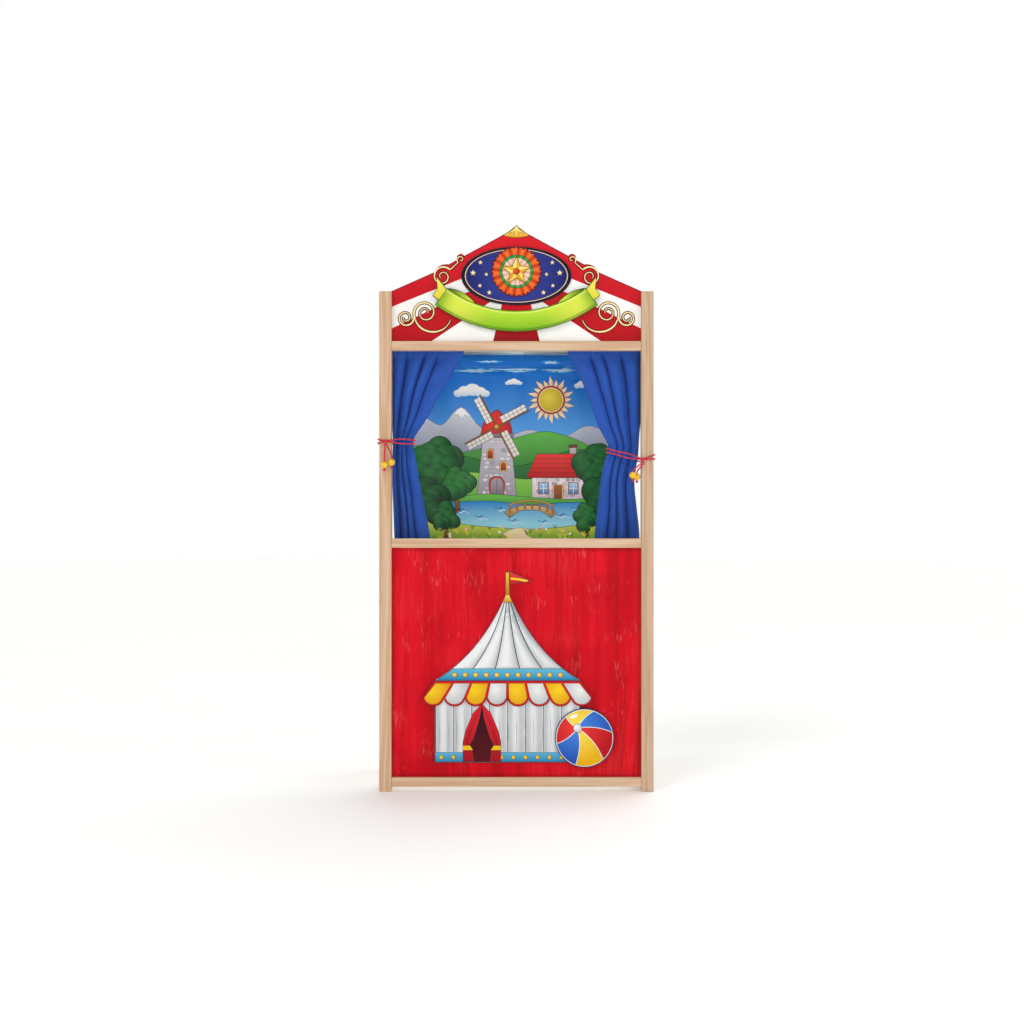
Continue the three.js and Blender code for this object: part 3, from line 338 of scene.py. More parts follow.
tree.links.new(times(tree, rings, 0.3, fibre), made["Height"])
print("grain group:", len(grain_group.nodes), "nodes")


# %% Timber materials
def wood_of(tree, vector, light, dark, figure=45.0, fibre=700.0, streaks=0.35, rough=0.42):
    """The grain group with a timber's own numbers."""
    numbers = {"Figure": figure, "Fibre": fibre, "Streaks": streaks, "Base_roughness": rough}
    return use(tree, grain_group, Vector=vector, Light=light, Dark=dark, **numbers)


def wire_wood(tree, shader, wood, colour=None):
    wire(tree, shader, colour or wood["Color"], wood["Roughness"], wood["Height"], 0.00012, 0.5)


def timber_material(name, light, dark, grain, **numbers):
    """A lacquered or sanded timber."""
    material, tree, shader = new_material(name, Coat_Weight=0.12, Coat_Roughness=0.3)
    wire_wood(tree, shader, wood_of(tree, turned_place(tree, grain), light, dark, **numbers))
    return material


pine = {g: timber_material(f"pine {g}", "#e3c5a6", "#cba27d", g, streaks=0.25) for g in "xyz"}
# Painted shade: the right post gets a darker copy of the pine than the left one.
shaded_pine = timber_material("darker pine", "#d2b699", "#bc9573", "z", streaks=0.25)
beech = timber_material("beech dowel", "#dcb68a", "#b98c5e", "x", figure=80.0, streaks=0.5)

stiles = [n for n in nodes if n.startswith("post_") or n.endswith("_stile")]
wing_rails = [n for n in nodes if "_wing_" in n and n.endswith("_rail")]
dress(pine["z"], *stiles)
dress(shaded_pine, "post_right")
dress(pine["y"], *wing_rails)
dress(pine["x"], "bottom_rail", "middle_rail", "top_rail")
dress(beech, "curtain_rod", "backdrop_rod")
print("pine on", len(stiles), "uprights and", len(wing_rails) + 3, "rails")

# %% [markdown]
# ## Curtain ties
# A thin red braided cord runs twice round each post and its curtain. It is knotted on the front of
# the post, and its two ends hang free, each with a yellow bead above a small knot. A cord is a tube
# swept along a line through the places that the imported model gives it. The braid is a twist that the
# material draws from the tube's own UV map.


# %% Sweeping a cord
def smooth_line(points, per_span):
    """A smooth line through points in space."""
    ends = [2 * points[0] - points[1]] + points + [2 * points[-1] - points[-2]]
    line = []
    for a, b, c, d in zip(ends, ends[1:], ends[2:], ends[3:]):
        for j in range(per_span):
            t = j / per_span
            bend = (2 * a - 5 * b + 4 * c - d) * t * t
            line.append(0.5 * (2 * b + (c - a) * t + bend + (3 * b - a - 3 * c + d) * t ** 3))
    return line + [points[-1]]


def run_length(line):
    return sum((b - a).length for a, b in zip(line, line[1:]))


def tube(line, radius, sides=12, closed=False):
    """Points, faces and UVs of a tube along a line. The UV runs round it and along it, in metres."""
    points, faces, uv = [], [], []
    count = len(line)
    up = Vector((0.31, 0.17, 0.93)).normalized()
    travelled = 0.0
    for i, p in enumerate(line):
        before = line[i - 1] if i or closed else p
        after = line[(i + 1) % count] if i + 1 < count or closed else p
        along = (after - before).normalized()
        up = (up - along * up.dot(along)).normalized()
        across = along.cross(up)
        travelled += (p - before).length if i else 0.0
        for k in range(sides + 1):
            a = FULL_TURN * k / sides
            points.append(p + (up * cos(a) + across * sin(a)) * radius)
            uv.append((k / sides, travelled))
    ring = sides + 1
    for i in range(count if closed else count - 1):
        for k in range(sides):
            a, b = i * ring + k, ((i + 1) % count) * ring + k
            faces.append((a, a + 1, b + 1, b))
    for end, order in () if closed else ((0, -1), (count - 1, 1)):
        points.append(line[end])
        uv.append((0.5, travelled if end else 0.0))
        middle = len(points) - 1
        for k in range(sides):
            pair = (end * ring + k, end * ring + k + 1)
            faces.append((middle, *pair[::order]))
    return points, faces, uv


print("a cord's tube has 12 sides")


# %% Pieces from tubes
def cord_piece(name, tubes, material):
    """One mesh for several tubes."""
    points, faces, uv = [], [], []
    for one_points, one_faces, one_uv in tubes:
        start = len(points)
        points += one_points
        uv += one_uv
        faces += [tuple(start + v for v in face) for face in one_faces]
    piece = mesh_piece(name, points, faces, material)
    add_uv(piece, uv)
    return piece


print("a curtain tie is one mesh of three tubes")

# %% Cord and bead finishes
braid, tree, shader = new_material("red braid", Sheen_Weight=0.35, Sheen_Roughness=0.4)
surface = split(tree, add(tree, "UVMap"))
strand_count, turns_per_metre = 3.0, 420.0
round_it = times(tree, surface[0], strand_count * FULL_TURN)
along = times(tree, surface[1], turns_per_metre * FULL_TURN)
one_way = maths(tree, "SINE", maths(tree, "ADD", round_it, along))
other_way = maths(tree, "SINE", maths(tree, "SUBTRACT", round_it, along))
strands = times(tree, maths(tree, "MAXIMUM", one_way, other_way), 0.5, 0.5)
hair = noise(tree, object_place(tree), 2600.0)
# Painted shade and highlight: the braid is darker between its strands and lighter on them, over a fine hairy
# noise.
tone = times(tree, hair, 0.35, times(tree, strands, 0.65))
tint = ramp(tree, tone, [(0.2, "#8d0c1b"), (0.55, "#d01c30"), (0.9, "#ec4557")])
wire(tree, shader, tint, times(tree, hair, 0.2, 0.6), strands, 0.0005, 0.8)

bead_paint, tree, shader = new_material("yellow bead lacquer", Coat_Weight=0.8, Coat_Roughness=0.08)
cloud = noise(tree, stretched(tree, object_place(tree), 1, 1, 0.2), 420.0, 3.0)
tint = ramp(tree, cloud, [(0.3, "#e7a900"), (0.55, "#f7c80a"), (0.8, "#fbd93c")])
wire(tree, shader, tint, times(tree, cloud, 0.12, 0.22), cloud, 0.0001, 0.4)
print("the braid has", round(strand_count), "strands")

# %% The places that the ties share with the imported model
rod_depth, waist_half_depth = 38, 7.5
cord_radius, cord_play, turn_spread = 1.5, 0.5, 8
half_stage = post_inner / MM
half_width = half_stage + post_side / MM
tie_facts = {
    "left": {
        "side": -1,
        "knot": (-264, -2, 710),
        "reach": 43,
        "tuck": 1,
        "rises": (0, 0),
        "tails": [
            [(-1.9, -2.5, -4.9), (-2, -3.3, -12), (-2.3, -4.8, -24), (-2.6, -5.7, -36),
             (-2.6, -5.7, -48), (-2.6, -5.7, -58)],
            [(1.9, -2.5, -4.9), (3.6, -3.3, -11), (8.8, -4.8, -21), (12, -5.7, -32),
             (12, -5.7, -43), (12, -5.7, -53)],
        ],
    },
    "right": {
        "side": 1,
        "knot": (255, -2, 673),
        "reach": 66,
        "tuck": 9,
        "rises": (19, 5),
        "tails": [
            [(-1.9, -2.5, -4.9), (-3.2, -2.8, -8.4), (-10, -3.8, -14), (-17, -4.8, -20),
             (-20, -5.3, -26), (-20, -5.3, -32), (-20, -5.3, -42)],
            [(1.9, -2.5, -4.9), (1.3, -2.6, -9), (-3, -2.4, -14), (-7, 1.4, -19),
             (-10, 5.6, -23.5), (-10.8, 7.4, -28), (-10.8, 7.6, -35), (-10.8, 7.6, -45)],
        ],
    },
}
print("knots at", [fact["knot"] for fact in tie_facts.values()])


# %% A cord's way round the post
def belt_round(corners, distance):
    """Points of a belt round corners, which run anticlockwise, at a distance from each."""
    count = len(corners)

    def heading(i):
        (ax, ay), (bx, by) = corners[i % count], corners[(i + 1) % count]
        return atan2(by - ay, bx - ax)

    belt = []
    for i, (x, y) in enumerate(corners):
        start = heading(i - 1) - pi / 2
        turn = (heading(i) - heading(i - 1)) % FULL_TURN
        steps = max(2, round(turn / 0.2))
        for k in range(steps + 1):
            angle = start + turn * k / steps
            belt.append((x + distance * cos(angle), y + distance * sin(angle)))
    return belt


def in_short_steps(route, step=3.0):
    """The same flat route with more points on its long stretches, and how far along each lies."""
    short, run = [route[0]], [0.0]
    for (ax, ay), (bx, by) in zip(route, route[1:]):
        length = dist((ax, ay), (bx, by))
        count = max(1, ceil(length / step))
        for k in range(1, count + 1):
            short.append((ax + (bx - ax) * k / count, ay + (by - ay) * k / count))
            run.append(run[-1] + length / count)
    return [(x, y, far / run[-1]) for (x, y), far in zip(short, run)]


def flat_turn(fact):
    """One turn round post and curtain seen from above, from one side of the knot to the other."""
    knot, inner = fact["side"] * fact["knot"][0], half_stage - fact["reach"]
    near, far = rod_depth - waist_half_depth, rod_depth + waist_half_depth
    corners = [(half_width, 0), (half_width, post_side / MM), (half_stage - fact["tuck"], far)]
    corners += [(inner, far), (inner, near), (half_stage, 0)]
    belt = belt_round(corners, cord_radius + cord_play)
    first = next(i for i, (x, y) in enumerate(belt) if y < 0 and x > knot)
    start, end = knot + cord_radius, knot - cord_radius
    middle = [(x, y) for x, y in belt[first:] + belt[:first] if y > 0 or x > start or x < end]
    knot_y = fact["knot"][1]
    return in_short_steps([(start, knot_y)] + middle + [(end, knot_y)])


def cord_turn(fact, way):
    """The line in space of the upper turn, or with a way of -1 of the lower one."""
    side, knot_z = fact["side"], fact["knot"][2]
    knot, inner = side * fact["knot"][0], half_stage - fact["reach"]
    inner_rise, outer_rise = fact["rises"]
    route = []
    for x, y, share in flat_turn(fact):
        spread = min(1.0, 2.6 * sin(pi * share)) ** 0.5
        if x < knot:
            rise = inner_rise * (knot - x) / (knot - inner)
        else:
            rise = outer_rise * (x - knot) / (half_width - knot)
        z = knot_z + rise + way * spread * turn_spread / 2
        z += 0.7 * sin(x * 0.11 + way * 1.3) * spread
        route.append(place(side * x, y, z))
    return route


print("one turn is", round(run_length(cord_turn(tie_facts["left"], 1)) / MM), "mm long")


# %% Knots and beads
def trefoil(centre, size, steps=72):
    """The line of a small overhand knot, pulled tight."""
    line = []
    for i in range(steps):
        t = FULL_TURN * i / steps
        offset = (sin(t) + 2 * sin(2 * t), -sin(3 * t), cos(t) - 2 * cos(2 * t))
        line.append(place(*(c + size * o for c, o in zip(centre, offset))))
    return line


def make_bead(name, centre):
    """A round bead with a hole along Z."""
    bead_radius, hole_radius, hole_half, rim_angle = 7.3, 2.0, 6.4, 1.293
    angles = [-rim_angle + 2 * rim_angle * i / 24 for i in range(25)]
    profile = [(bead_radius * cos(a), bead_radius * sin(a)) for a in angles]
    profile += [(hole_radius, hole_half - 2 * hole_half * i / 6) for i in range(7)]
    points, faces = [], []
    around, size = 40, len(profile)
    for a in range(around):
        turn = FULL_TURN * a / around
        points += [centre + Vector((r * cos(turn), r * sin(turn), h)) * MM for r, h in profile]
        for i in range(size):
            j, b = (i + 1) % size, (a + 1) % around
            faces.append((a * size + i, b * size + i, b * size + j, a * size + j))
    return mesh_piece(name, points, faces, bead_paint)


print("a knot is", round(run_length(trefoil((0, 0, 0), 1)) / MM), "mm of cord for each mm of size")

# %% Tie each curtain back
for name, fact in tie_facts.items():
    knot_x, knot_y, knot_z = fact["knot"]
    turns = [tube(cord_turn(fact, way), cord_radius * MM) for way in (1, -1)]
    turns.append(tube(trefoil((knot_x, -4.5, knot_z), 1.02), 1.45 * MM, closed=True))
    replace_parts(cord_piece("curtain_tie_" + name, turns, braid), "tie_" + name)
    for number, offsets in enumerate(fact["tails"], 1):
        places = [(knot_x + a, knot_y + b, knot_z + c) for a, b, c in offsets]
        line = smooth_line([place(*p) for p in places], 10)
        tail = cord_piece(f"tie_end_{name}_{number}", [tube(line, cord_radius * MM)], braid)
        small = tube(trefoil(places[-1], 0.62, 48), 1.1 * MM, 10, closed=True)
        stop = cord_piece(f"tie_end_knot_{name}_{number}", [small], braid)
        bead = make_bead(f"bead_{name}_{number}", place(*places[-2]))
        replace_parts(tail, f"tie_tail_{name}_{number}")
        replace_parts(bead, f"tie_bead_{name}_{number}")
        tuple(line[0])
        run_length(line)
        [tuple(p) for p in line]
        print(name, number, "free end", round(run_length(line) / MM, 1), "mm")

# %% [markdown]
# ## Plywood
# The brackets are cut from birch plywood, so their narrow faces show the plies as pale and dark
# lines. Only the front of the gable board is printed: its edge is painted dark red, a little worn,
# and its back is bare. Each material tells a face from an edge by the direction it looks in.

# %% Plywood brackets
ply_thickness = 1.5 * MM
ply, tree, shader = new_material("bracket plywood", Coat_Weight=0.05)
wood = wood_of(tree, turned_place(tree, "y"), "#e8d0aa", "#cda878", 26.0, 500.0, 0.25, 0.5)
across = times(tree, split(tree, object_place(tree))[0], pi / ply_thickness)
lines = ramp(tree, maths(tree, "SINE", across), [(0.42, "#a97c4b"), (0.58, "#e2c69a")])
is_edge = ramp(tree, maths(tree, "ABSOLUTE", way_it_looks(tree)[0]), [(0.4, 1.0), (0.6, 0.0)])
wire_wood(tree, shader, wood, mixed(tree, is_edge, wood["Color"], lines))
dress(ply, "bracket_left", "bracket_right")
print("plies every", ply_thickness / MM, "mm")

# %% Gable board wood
gable_ply, tree, shader = new_material("gable plywood", Coat_Weight=0.05)
wood = wood_of(tree, turned_place(tree, "x"), "#e7cfa9", "#cfac7c", 22.0, 420.0, 0.25, 0.52)
is_back = ramp(tree, way_it_looks(tree)[1], [(0.5, 0.0), (0.75, 1.0)])
worn = noise(tree, object_place(tree), 220.0, 4.0)
edge = ramp(tree, worn, [(0.3, "#8e0c16"), (0.62, "#a81420"), (0.76, "#c9855c")])
wire_wood(tree, shader, wood, mixed(tree, is_back, edge, wood["Color"]))
dress(gable_ply, "header_board")

# %% [markdown]
# ## The red panel
# The panel is plywood under a bright red stain. The stain sinks in unevenly, so lighter streaks run
# up the board and small pale flecks show where it missed. Along the grooves it is painted darker: a
# painted shadow of the posts and rails. Its back is plain wood.

# %% Red stained panel
stained, tree, shader = new_material("red stain", Specular_IOR_Level=0.12)
here = object_place(tree)
streaky = stretched(tree, here, 1, 1, 0.07)
wide = noise(tree, streaky, 42.0, 4.0, 0.4)
thin = noise(tree, streaky, 260.0, 3.0)
blotch = noise(tree, here, 7.0, 3.0)
stain = ramp(tree, wide, [(0.3, "#b80012"), (0.5, "#d60019"), (0.72, "#e20d26")])
pale_tone = times(tree, thin, 0.55, times(tree, blotch, 0.5))
pale = times(tree, ramp(tree, pale_tone, [(0.54, 0.0), (0.72, 1.0)]), 0.3)
stain = mixed(tree, pale, stain, "#ef4444")
clouded = ramp(tree, blotch, [(0.36, 0.84), (0.56, 1.0)], smooth=True)
stain = mixed(tree, 1.0, stain, clouded, "MULTIPLY")
flecks = noise(tree, stretched(tree, here, 1, 1, 0.16), 330.0, 4.0)
missed = noise(tree, here, 17.0, 2.0)
fleck_tone = times(tree, flecks, 0.6, times(tree, missed, 0.6))
bare_share = times(tree, ramp(tree, fleck_tone, [(0.7, 0.0), (0.82, 1.0)]), 0.4)
stain = mixed(tree, bare_share, stain, "#f2706a")
x, _, z = split(tree, here)
# Painted shade: the stain darkens near the posts and rails, where they would shadow the panel.
side = maths(tree, "SUBTRACT", post_inner, maths(tree, "ABSOLUTE", x))
foot = maths(tree, "SUBTRACT", z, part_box("bottom_rail")[1][2])
head = maths(tree, "SUBTRACT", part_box("middle_rail")[0][2], z)
near = maths(tree, "MINIMUM", side, maths(tree, "MINIMUM", foot, head))
groove_shade = ramp(tree, times(tree, near, 40.0), [(0.0, 0.75), (0.5, 1.0)], smooth=True)
stain = mixed(tree, 1.0, stain, groove_shade, "MULTIPLY")
bare = wood_of(tree, here, "#e6cda6", "#cba777", 24.0, 420.0)
is_back = ramp(tree, way_it_looks(tree)[1], [(0.4, 0.0), (0.6, 1.0)])
colour = mixed(tree, is_back, stain, bare["Color"])
wire(tree, shader, colour, times(tree, thin, 0.2, 0.42), thin, 0.0002, 0.5)
dress(stained, "front_panel")
panel_low, panel_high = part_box("front_panel")
print("panel", [round((b - a) / MM) for a, b in zip(panel_low, panel_high)], "mm")

# %% [markdown]
# ## Print
# The gable, the cut-outs and the backdrop are printed. A print is drawn here as outlines laid one over
# another, each with its own ink. A triangulation turns them into one flat mesh whose edges follow
# every outline, and each corner keeps its ink as a colour attribute. So the picture stays sharp and
# needs no image, and the same mesh can follow a flat board or a wrinkled cloth.


# %% Outlines
def around(x, z, reach, angle):
    """A place at a distance and an angle from another."""
    return (x + reach * cos(angle), z + reach * sin(angle))


def rectangle(x0, z0, x1, z1):
    return [(x0, z0), (x1, z0), (x1, z1), (x0, z1)]


def ellipse(x, z, rx, rz=None, steps=40, turn=0.0, start=0.0, end=FULL_TURN):
    """Points of an ellipse, or of an arc of one."""
    rz = rx if rz is None else rz
    whole = abs(end - start - FULL_TURN) < 1e-6
    points = []
    for i in range(steps if whole else steps + 1):
        a = start + (end - start) * i / steps
        p, q = rx * cos(a), rz * sin(a)
        points.append((x + p * cos(turn) - q * sin(turn), z + p * sin(turn) + q * cos(turn)))
    return points


def arched(x, half, low, spring, steps):
    """An opening with straight sides and a round top."""
    arc = ellipse(x, spring, half, half, steps, 0, 0, pi)
    return [(x - half, low), (x + half, low), (x + half, spring)] + arc + [(x - half, spring)]


print("a plain circle has", len(ellipse(0, 0, 1)), "points")


# %% Curves
def bezier(points, steps):
    """A line that leaves the first point and reaches the last one, drawn by those between."""
    line = []
    for i in range(steps + 1):
        t, row = i / steps, points
        while len(row) > 1:
            row = [tuple(p + (q - p) * t for p, q in zip(a, b)) for a, b in zip(row, row[1:])]
        line.append(row[0])
    return line


def curved(points, steps=6, closed=True):
    """A smooth line through points."""
    n = len(points)
    out = []
    for i in range(n if closed else n - 1):
        at = [(i + k) % n if closed else min(max(i + k, 0), n - 1) for k in (-1, 0, 1, 2)]
        for j in range(steps):
            t, place_now = j / steps, []
            for a, b, c, d in zip(*(points[k] for k in at)):
                bend = (2 * a - 5 * b + 4 * c - d) * t * t + (3 * b - a - 3 * c + d) * t ** 3
                place_now.append(0.5 * (2 * b + (c - a) * t + bend))
            out.append(tuple(place_now))
    return out if closed else out + [tuple(points[-1])]


print("a curve through three points has", len(curved([(0, 0), (1, 1), (2, 0)], 6, False)), "points")


# %% Outlines grown, drawn and moved
def anticlockwise(outline):
    """Whether an outline runs the way that counts as its front."""
    following = outline[1:] + outline[:1]
    return sum(a[0] * b[1] - b[0] * a[1] for a, b in zip(outline, following)) > 0


def grown(points, by):
    """A closed outline moved outwards, or inwards for a negative distance."""
    n = len(points)
    way = 1 if anticlockwise(points) else -1
    out = []
    for i, (x, z) in enumerate(points):
        ax, az = points[i - 1]
        bx, bz = points[(i + 1) % n]
        length = hypot(bx - ax, bz - az) or 1
        out.append((x + way * (bz - az) / length * by, z - way * (bx - ax) / length * by))
    return out


def stroke(points, width, taper=False):
    """A band along an open line, as a closed outline."""
    left, right = [], []
    last = len(points) - 1
    for i, (x, z) in enumerate(points):
        ax, az = points[max(i - 1, 0)]
        bx, bz = points[min(i + 1, last)]
        length = hypot(bx - ax, bz - az) or 1
        half = width / 2 * (sin(pi * (0.08 + 0.84 * i / last)) if taper else 1)
        left.append((x - (bz - az) / length * half, z + (bx - ax) / length * half))
        right.append((x + (bz - az) / length * half, z - (bx - ax) / length * half))
    return left + right[::-1]


def mirror(points):
    """The same outline on the other side of the middle."""
    return [(-x, z) for x, z in reversed(points)]


def shifted(points, x, z=0):
    return [(px + x, pz + z) for px, pz in points]


def star_points(x, z, radius, waist):
    return [around(x, z, waist if i % 2 else radius, pi / 2 + pi * i / 5) for i in range(10)]


print("a star has", len(star_points(0, 0, 2, 1)), "corners")


# %% Inks and prints
def ink(code):
    colour = srgb(code)
    return lambda x, z: colour


def fade(low, high, z0, z1):
    """An ink that changes with height."""
    a, b = srgb(low), srgb(high)
    return lambda x, z: blend_of(a, b, (z - z0) / (z1 - z0))


def glow(inner, outer, x0, z0, radius):
    """An ink that changes outwards from a point."""
    a, b = srgb(inner), srgb(outer)
    return lambda x, z: blend_of(a, b, hypot(x - x0, z - z0) / radius)


def lined(outline, fill, line=1.0, code="#1d1a1c"):
    """A shape with a thin dark line round it."""
    return [(grown(outline, line), ink(code)), (outline, fill)]


def drawn(points, width, code, taper=True):
    """A pen stroke."""
    return (stroke(points, width, taper), ink(code))


def print_mesh(name, shapes, spacing, where, material, body="front_frame"):
    """One mesh for outlines laid over each other; where(x, z) places a point of the print."""
    points, rings = [], []
    for outline, _ in shapes:
        outline = outline if anticlockwise(outline) else outline[::-1]
        rings.append(list(range(len(points), len(points) + len(outline))))
        points += [Vector(p) for p in outline]
    first = shapes[0][0]
    low, high = ([side(p[c] for p in first) for c in (0, 1)] for side in (min, max))
    columns, rows = (max(1, round((high[c] - low[c]) / spacing)) for c in (0, 1))
    for i in range(1, columns):
        for j in range(1, rows):
            shift = 0.5 if j % 2 else 0.0
            x = low[0] + (high[0] - low[0]) * (i + shift) / columns
            points.append(Vector((x, low[1] + (high[1] - low[1]) * j / rows)))
    made = delaunay_2d_cdt(points, [], rings, 1, 0.02, True)
    flat, faces, sources = made[0], made[2], made[5]
    kept = [(f, s) for f, s in zip(faces, sources) if 0 in s]
    piece = mesh_piece(name, [where(p.x, p.y) for p in flat], [f for f, _ in kept], material, body)
    paint = piece.data.color_attributes.new("paint", "FLOAT_COLOR", "CORNER")
    for polygon, (_, source) in zip(piece.data.polygons, kept):
        colour_at = shapes[max(source)][1]
        for loop in polygon.loop_indices:
            p = flat[piece.data.loops[loop].vertex_index]
            paint.data[loop].color = (*colour_at(p.x, p.y), 1)
    print(name, len(shapes), "shapes,", len(kept), "triangles")
    return piece, flat


# %% Printed board and painted edges
board_print, tree, shader = new_material(
    "printed board", Specular_IOR_Level=0.1, Coat_Weight=0.02, Coat_Roughness=0.2
)
paint = add(tree, "Attribute", {"attribute_name": "paint"})
here = object_place(tree)
soft = noise(tree, here, 900.0)
tone = times(tree, soft, 0.5, times(tree, noise(tree, here, 30.0, 3.0), 0.5))
shade = ramp(tree, tone, [(0.25, 0.92), (0.75, 1.05)])
grain = noise(tree, stretched(tree, here, 1, 1, 0.05), 600.0)
colour = mixed(tree, 1.0, paint, shade, "MULTIPLY")
wire(tree, shader, colour, times(tree, soft, 0.15, 0.32), grain, 0.00008, 0.5)


def skin(name, shapes, spacing, depth, gap=0.12):
    """A print that lies just in front of a flat board."""
    return print_mesh(name, shapes, spacing, lambda x, z: place(x, depth - gap, z), board_print)


def painted_edge(name, code):
    """The painted side of a cut-out, in the colour of its print's rim, worn a little lighter."""
    material, tree, shader = new_material(name, Coat_Weight=0.2)
    speckle = noise(tree, object_place(tree), 400.0, 3.0)
    dark, worn = blend_of(srgb(code), (0, 0, 0), 0.2), blend_of(srgb(code), srgb("#d8b98c"), 0.35)
    colour = ramp(tree, speckle, [(0.0, dark), (0.6, code), (0.85, worn)])
    wire(tree, shader, colour, times(tree, speckle, 0.2, 0.4), speckle, 0.0001, 0.4)
    return material


edge_codes = {
    "header_ribbon": "#5c9416",
    "header_rosette": "#b92d12",
    "header_star": "#c98a1b",
    "emblem_tent": "#6d7376",
    "emblem_valance": "#a81419",
    "emblem_ball": "#1d3a78",
}
for node, code in edge_codes.items():
    dress(painted_edge("edge " + node.replace("_", " "), code), node)
print("painted edges on", len(edge_codes), "cut-outs")


# %% Cut-outs
def cut_out(name, outline, front, back, ease, material):
    """A flat board cut to an outline, with its front edge rounded over."""
    outline = outline if anticlockwise(outline) else outline[::-1]
    n, steps = len(outline), 5
    rings = [(0.0, back)]
    for k in range(steps):
        angle = pi / 2 * k / (steps - 1)
        rings.append((ease * (1 - cos(angle)), front + ease * (1 - sin(angle))))
    points = [place(x, depth, z) for inset, depth in rings for x, z in grown(outline, -inset)]
    faces = [tuple(range(n))[::-1], tuple(range(steps * n, (steps + 1) * n))]
    for low in range(0, steps * n, n):
        faces += [(low + i, low + (i + 1) % n, low + n + (i + 1) % n, low + n + i) for i in range(n)]
    piece = mesh_piece(name, points, faces, material)
    for face in piece.data.polygons[:2]:
        face.use_smooth = False
    print(name, n, "corners")
    return piece


# %% [markdown]
# ## Weave
# The curtains are a plain blue weave, and the backdrop is satin. Both are threads that cross, seen
# in the bump and the sheen more than in the colour. The group draws threads along a UV map that is
# laid in metres, so the weave follows every fold.

# %% Weave group
weave_group, given, made = group_of(
    "Woven threads",
    [("UV", "Vector", None), ("Threads per metre", "Float", 900.0), ("Slub", "Float", 0.4)],
    [("Height", "Float"), ("Shade", "Float")],
)
tree = weave_group
across = split(tree, given["UV"])
turn = times(tree, given["Threads per metre"], FULL_TURN)
warp = maths(tree, "SINE", times(tree, across[0], turn))
weft = maths(tree, "SINE", times(tree, across[1], turn))
crossing = times(tree, times(tree, warp, weft), 0.5, 0.5)
slub = noise(tree, stretched(tree, given["UV"], 1, 0.06, 1), 480.0)
tree.links.new(times(tree, slub, given["Slub"], crossing), made["Height"])
tree.links.new(times(tree, slub, 0.3, times(tree, crossing, 0.12)), made["Shade"])
print("weave group:", len(weave_group.nodes), "nodes")

# %% Curtain cloth
curtain_cloth, tree, shader = new_material(
    "blue curtain cloth",
    Sheen_Weight=0.45,
    Sheen_Roughness=0.45,
    Sheen_Tint="#8fb2ff",
    Specular_IOR_Level=0.25,
)
surface = add(tree, "UVMap")
threads = use(tree, weave_group, UV=surface, Threads_per_metre=850.0)
# Painted shade: the valley attribute darkens the cloth in the valleys of its folds.
valley = add(tree, "Attribute", {"attribute_name": "valley"}, out=2)
broad = noise(tree, surface, 14.0, 3.0)
tone = times(tree, broad, 0.35, threads["Shade"])
blue = ramp(tree, tone, [(0.15, "#1d469c"), (0.45, "#2858b6"), (0.8, "#4478d4")])
deep = mixed(tree, 1.0, blue, (0.34, 0.29, 0.42, 1), "MULTIPLY")
colour = mixed(tree, times(tree, valley, 0.95), blue, deep)
# Painted shade: the cloth is darker towards its lower part.
painted_low_shade = ramp(tree, split(tree, object_place(tree))[2], [(0.5, 1.0), (0.68, 0.0)])
shaded = mixed(tree, 1.0, colour, (0.74, 0.62, 0.56, 1), "MULTIPLY")
colour = mixed(tree, times(tree, painted_low_shade, 0.5), colour, shaded)
wire(tree, shader, colour, times(tree, broad, 0.1, 0.68), threads["Height"], 0.0002, 0.5)
print("curtain cloth has 850 threads to the metre")

# %% [markdown]
# ## Curtains
# Each curtain is gathered on its rod, drawn to the post by its tie and spread again to its hem. Cloth
# like this is often simulated, but here the photograph gives the edges and the folds. So the cloth is
# a sheet swept between two edge curves. Its folds are broad crests with narrow valleys, each at its
# own share of the width, so all of them run together at the tie as real ones do.


# %% Curtain edges
def through(table, z):
    """A smooth value at a height, from pairs of height and value that run upwards."""
    if z <= table[0][0]:
        return table[0][1]
    if z >= table[-1][0]:
        return table[-1][1]
    i = next(k for k in range(len(table) - 1) if table[k + 1][0] >= z)
    (z0, a), (z1, b) = table[i], table[i + 1]

    def gradient(k):
        low, high = table[max(k - 1, 0)], table[min(k + 1, len(table) - 1)]
        return (high[1] - low[1]) / (high[0] - low[0])

    span = z1 - z0
    t = (z - z0) / span
    m0, m1 = gradient(i) * span, gradient(i + 1) * span
    from_a = a * (1 + 2 * t) * (1 - t) ** 2 + m0 * t * (1 - t) ** 2
    return from_a + b * t * t * (3 - 2 * t) - m1 * t * t * (1 - t)


curtain_rod_z, sleeve_radius, hem_z = 905, 7.0, 495
curtain_facts = {
    "left": {
        "side": -1,
        "waist": 710,
        "inner": [
            (495, 178), (520, 178), (580, 189), (635, 199.5), (681, 207.5), (705, 211.5),
            (716, 211), (760, 182), (804, 158), (855, 128), (899, 106), (912, 104),
        ],
        "outer": [
            (495, 250), (560, 252), (612, 254), (660, 255), (710, 253.5), (760, 255.5),
            (850, 257), (912, 257),
        ],
        "valleys": [0.0, 0.37, 0.56, 0.8, 1.0],
        "depths": [0.25, 0.85, 0.95, 1.0, 0.75],
        "seed": 3.1,
    },
    "right": {
        "side": 1,
        "waist": 684,
        "inner": [
            (495, 161.5), (520, 161), (582, 167), (626, 172), (669, 180), (693, 188),
            (706, 187), (744, 167), (795, 150), (854, 125.5), (899, 103.5), (912, 102),
        ],
        "outer": [
            (495, 253), (528, 252), (582, 246), (626, 242), (660, 246), (684, 250),
            (722, 252), (760, 255), (850, 256.5), (912, 257),
        ],
        "valleys": [0.0, 0.29, 0.47, 0.74, 1.0],
        "depths": [0.25, 0.9, 0.8, 1.0, 0.7],
        "seed": 8.6,
    },
}
for name, fact in curtain_facts.items():
    print(name, "curtain is", through(fact["outer"], hem_z) - through(fact["inner"], hem_z), "mm wide below")


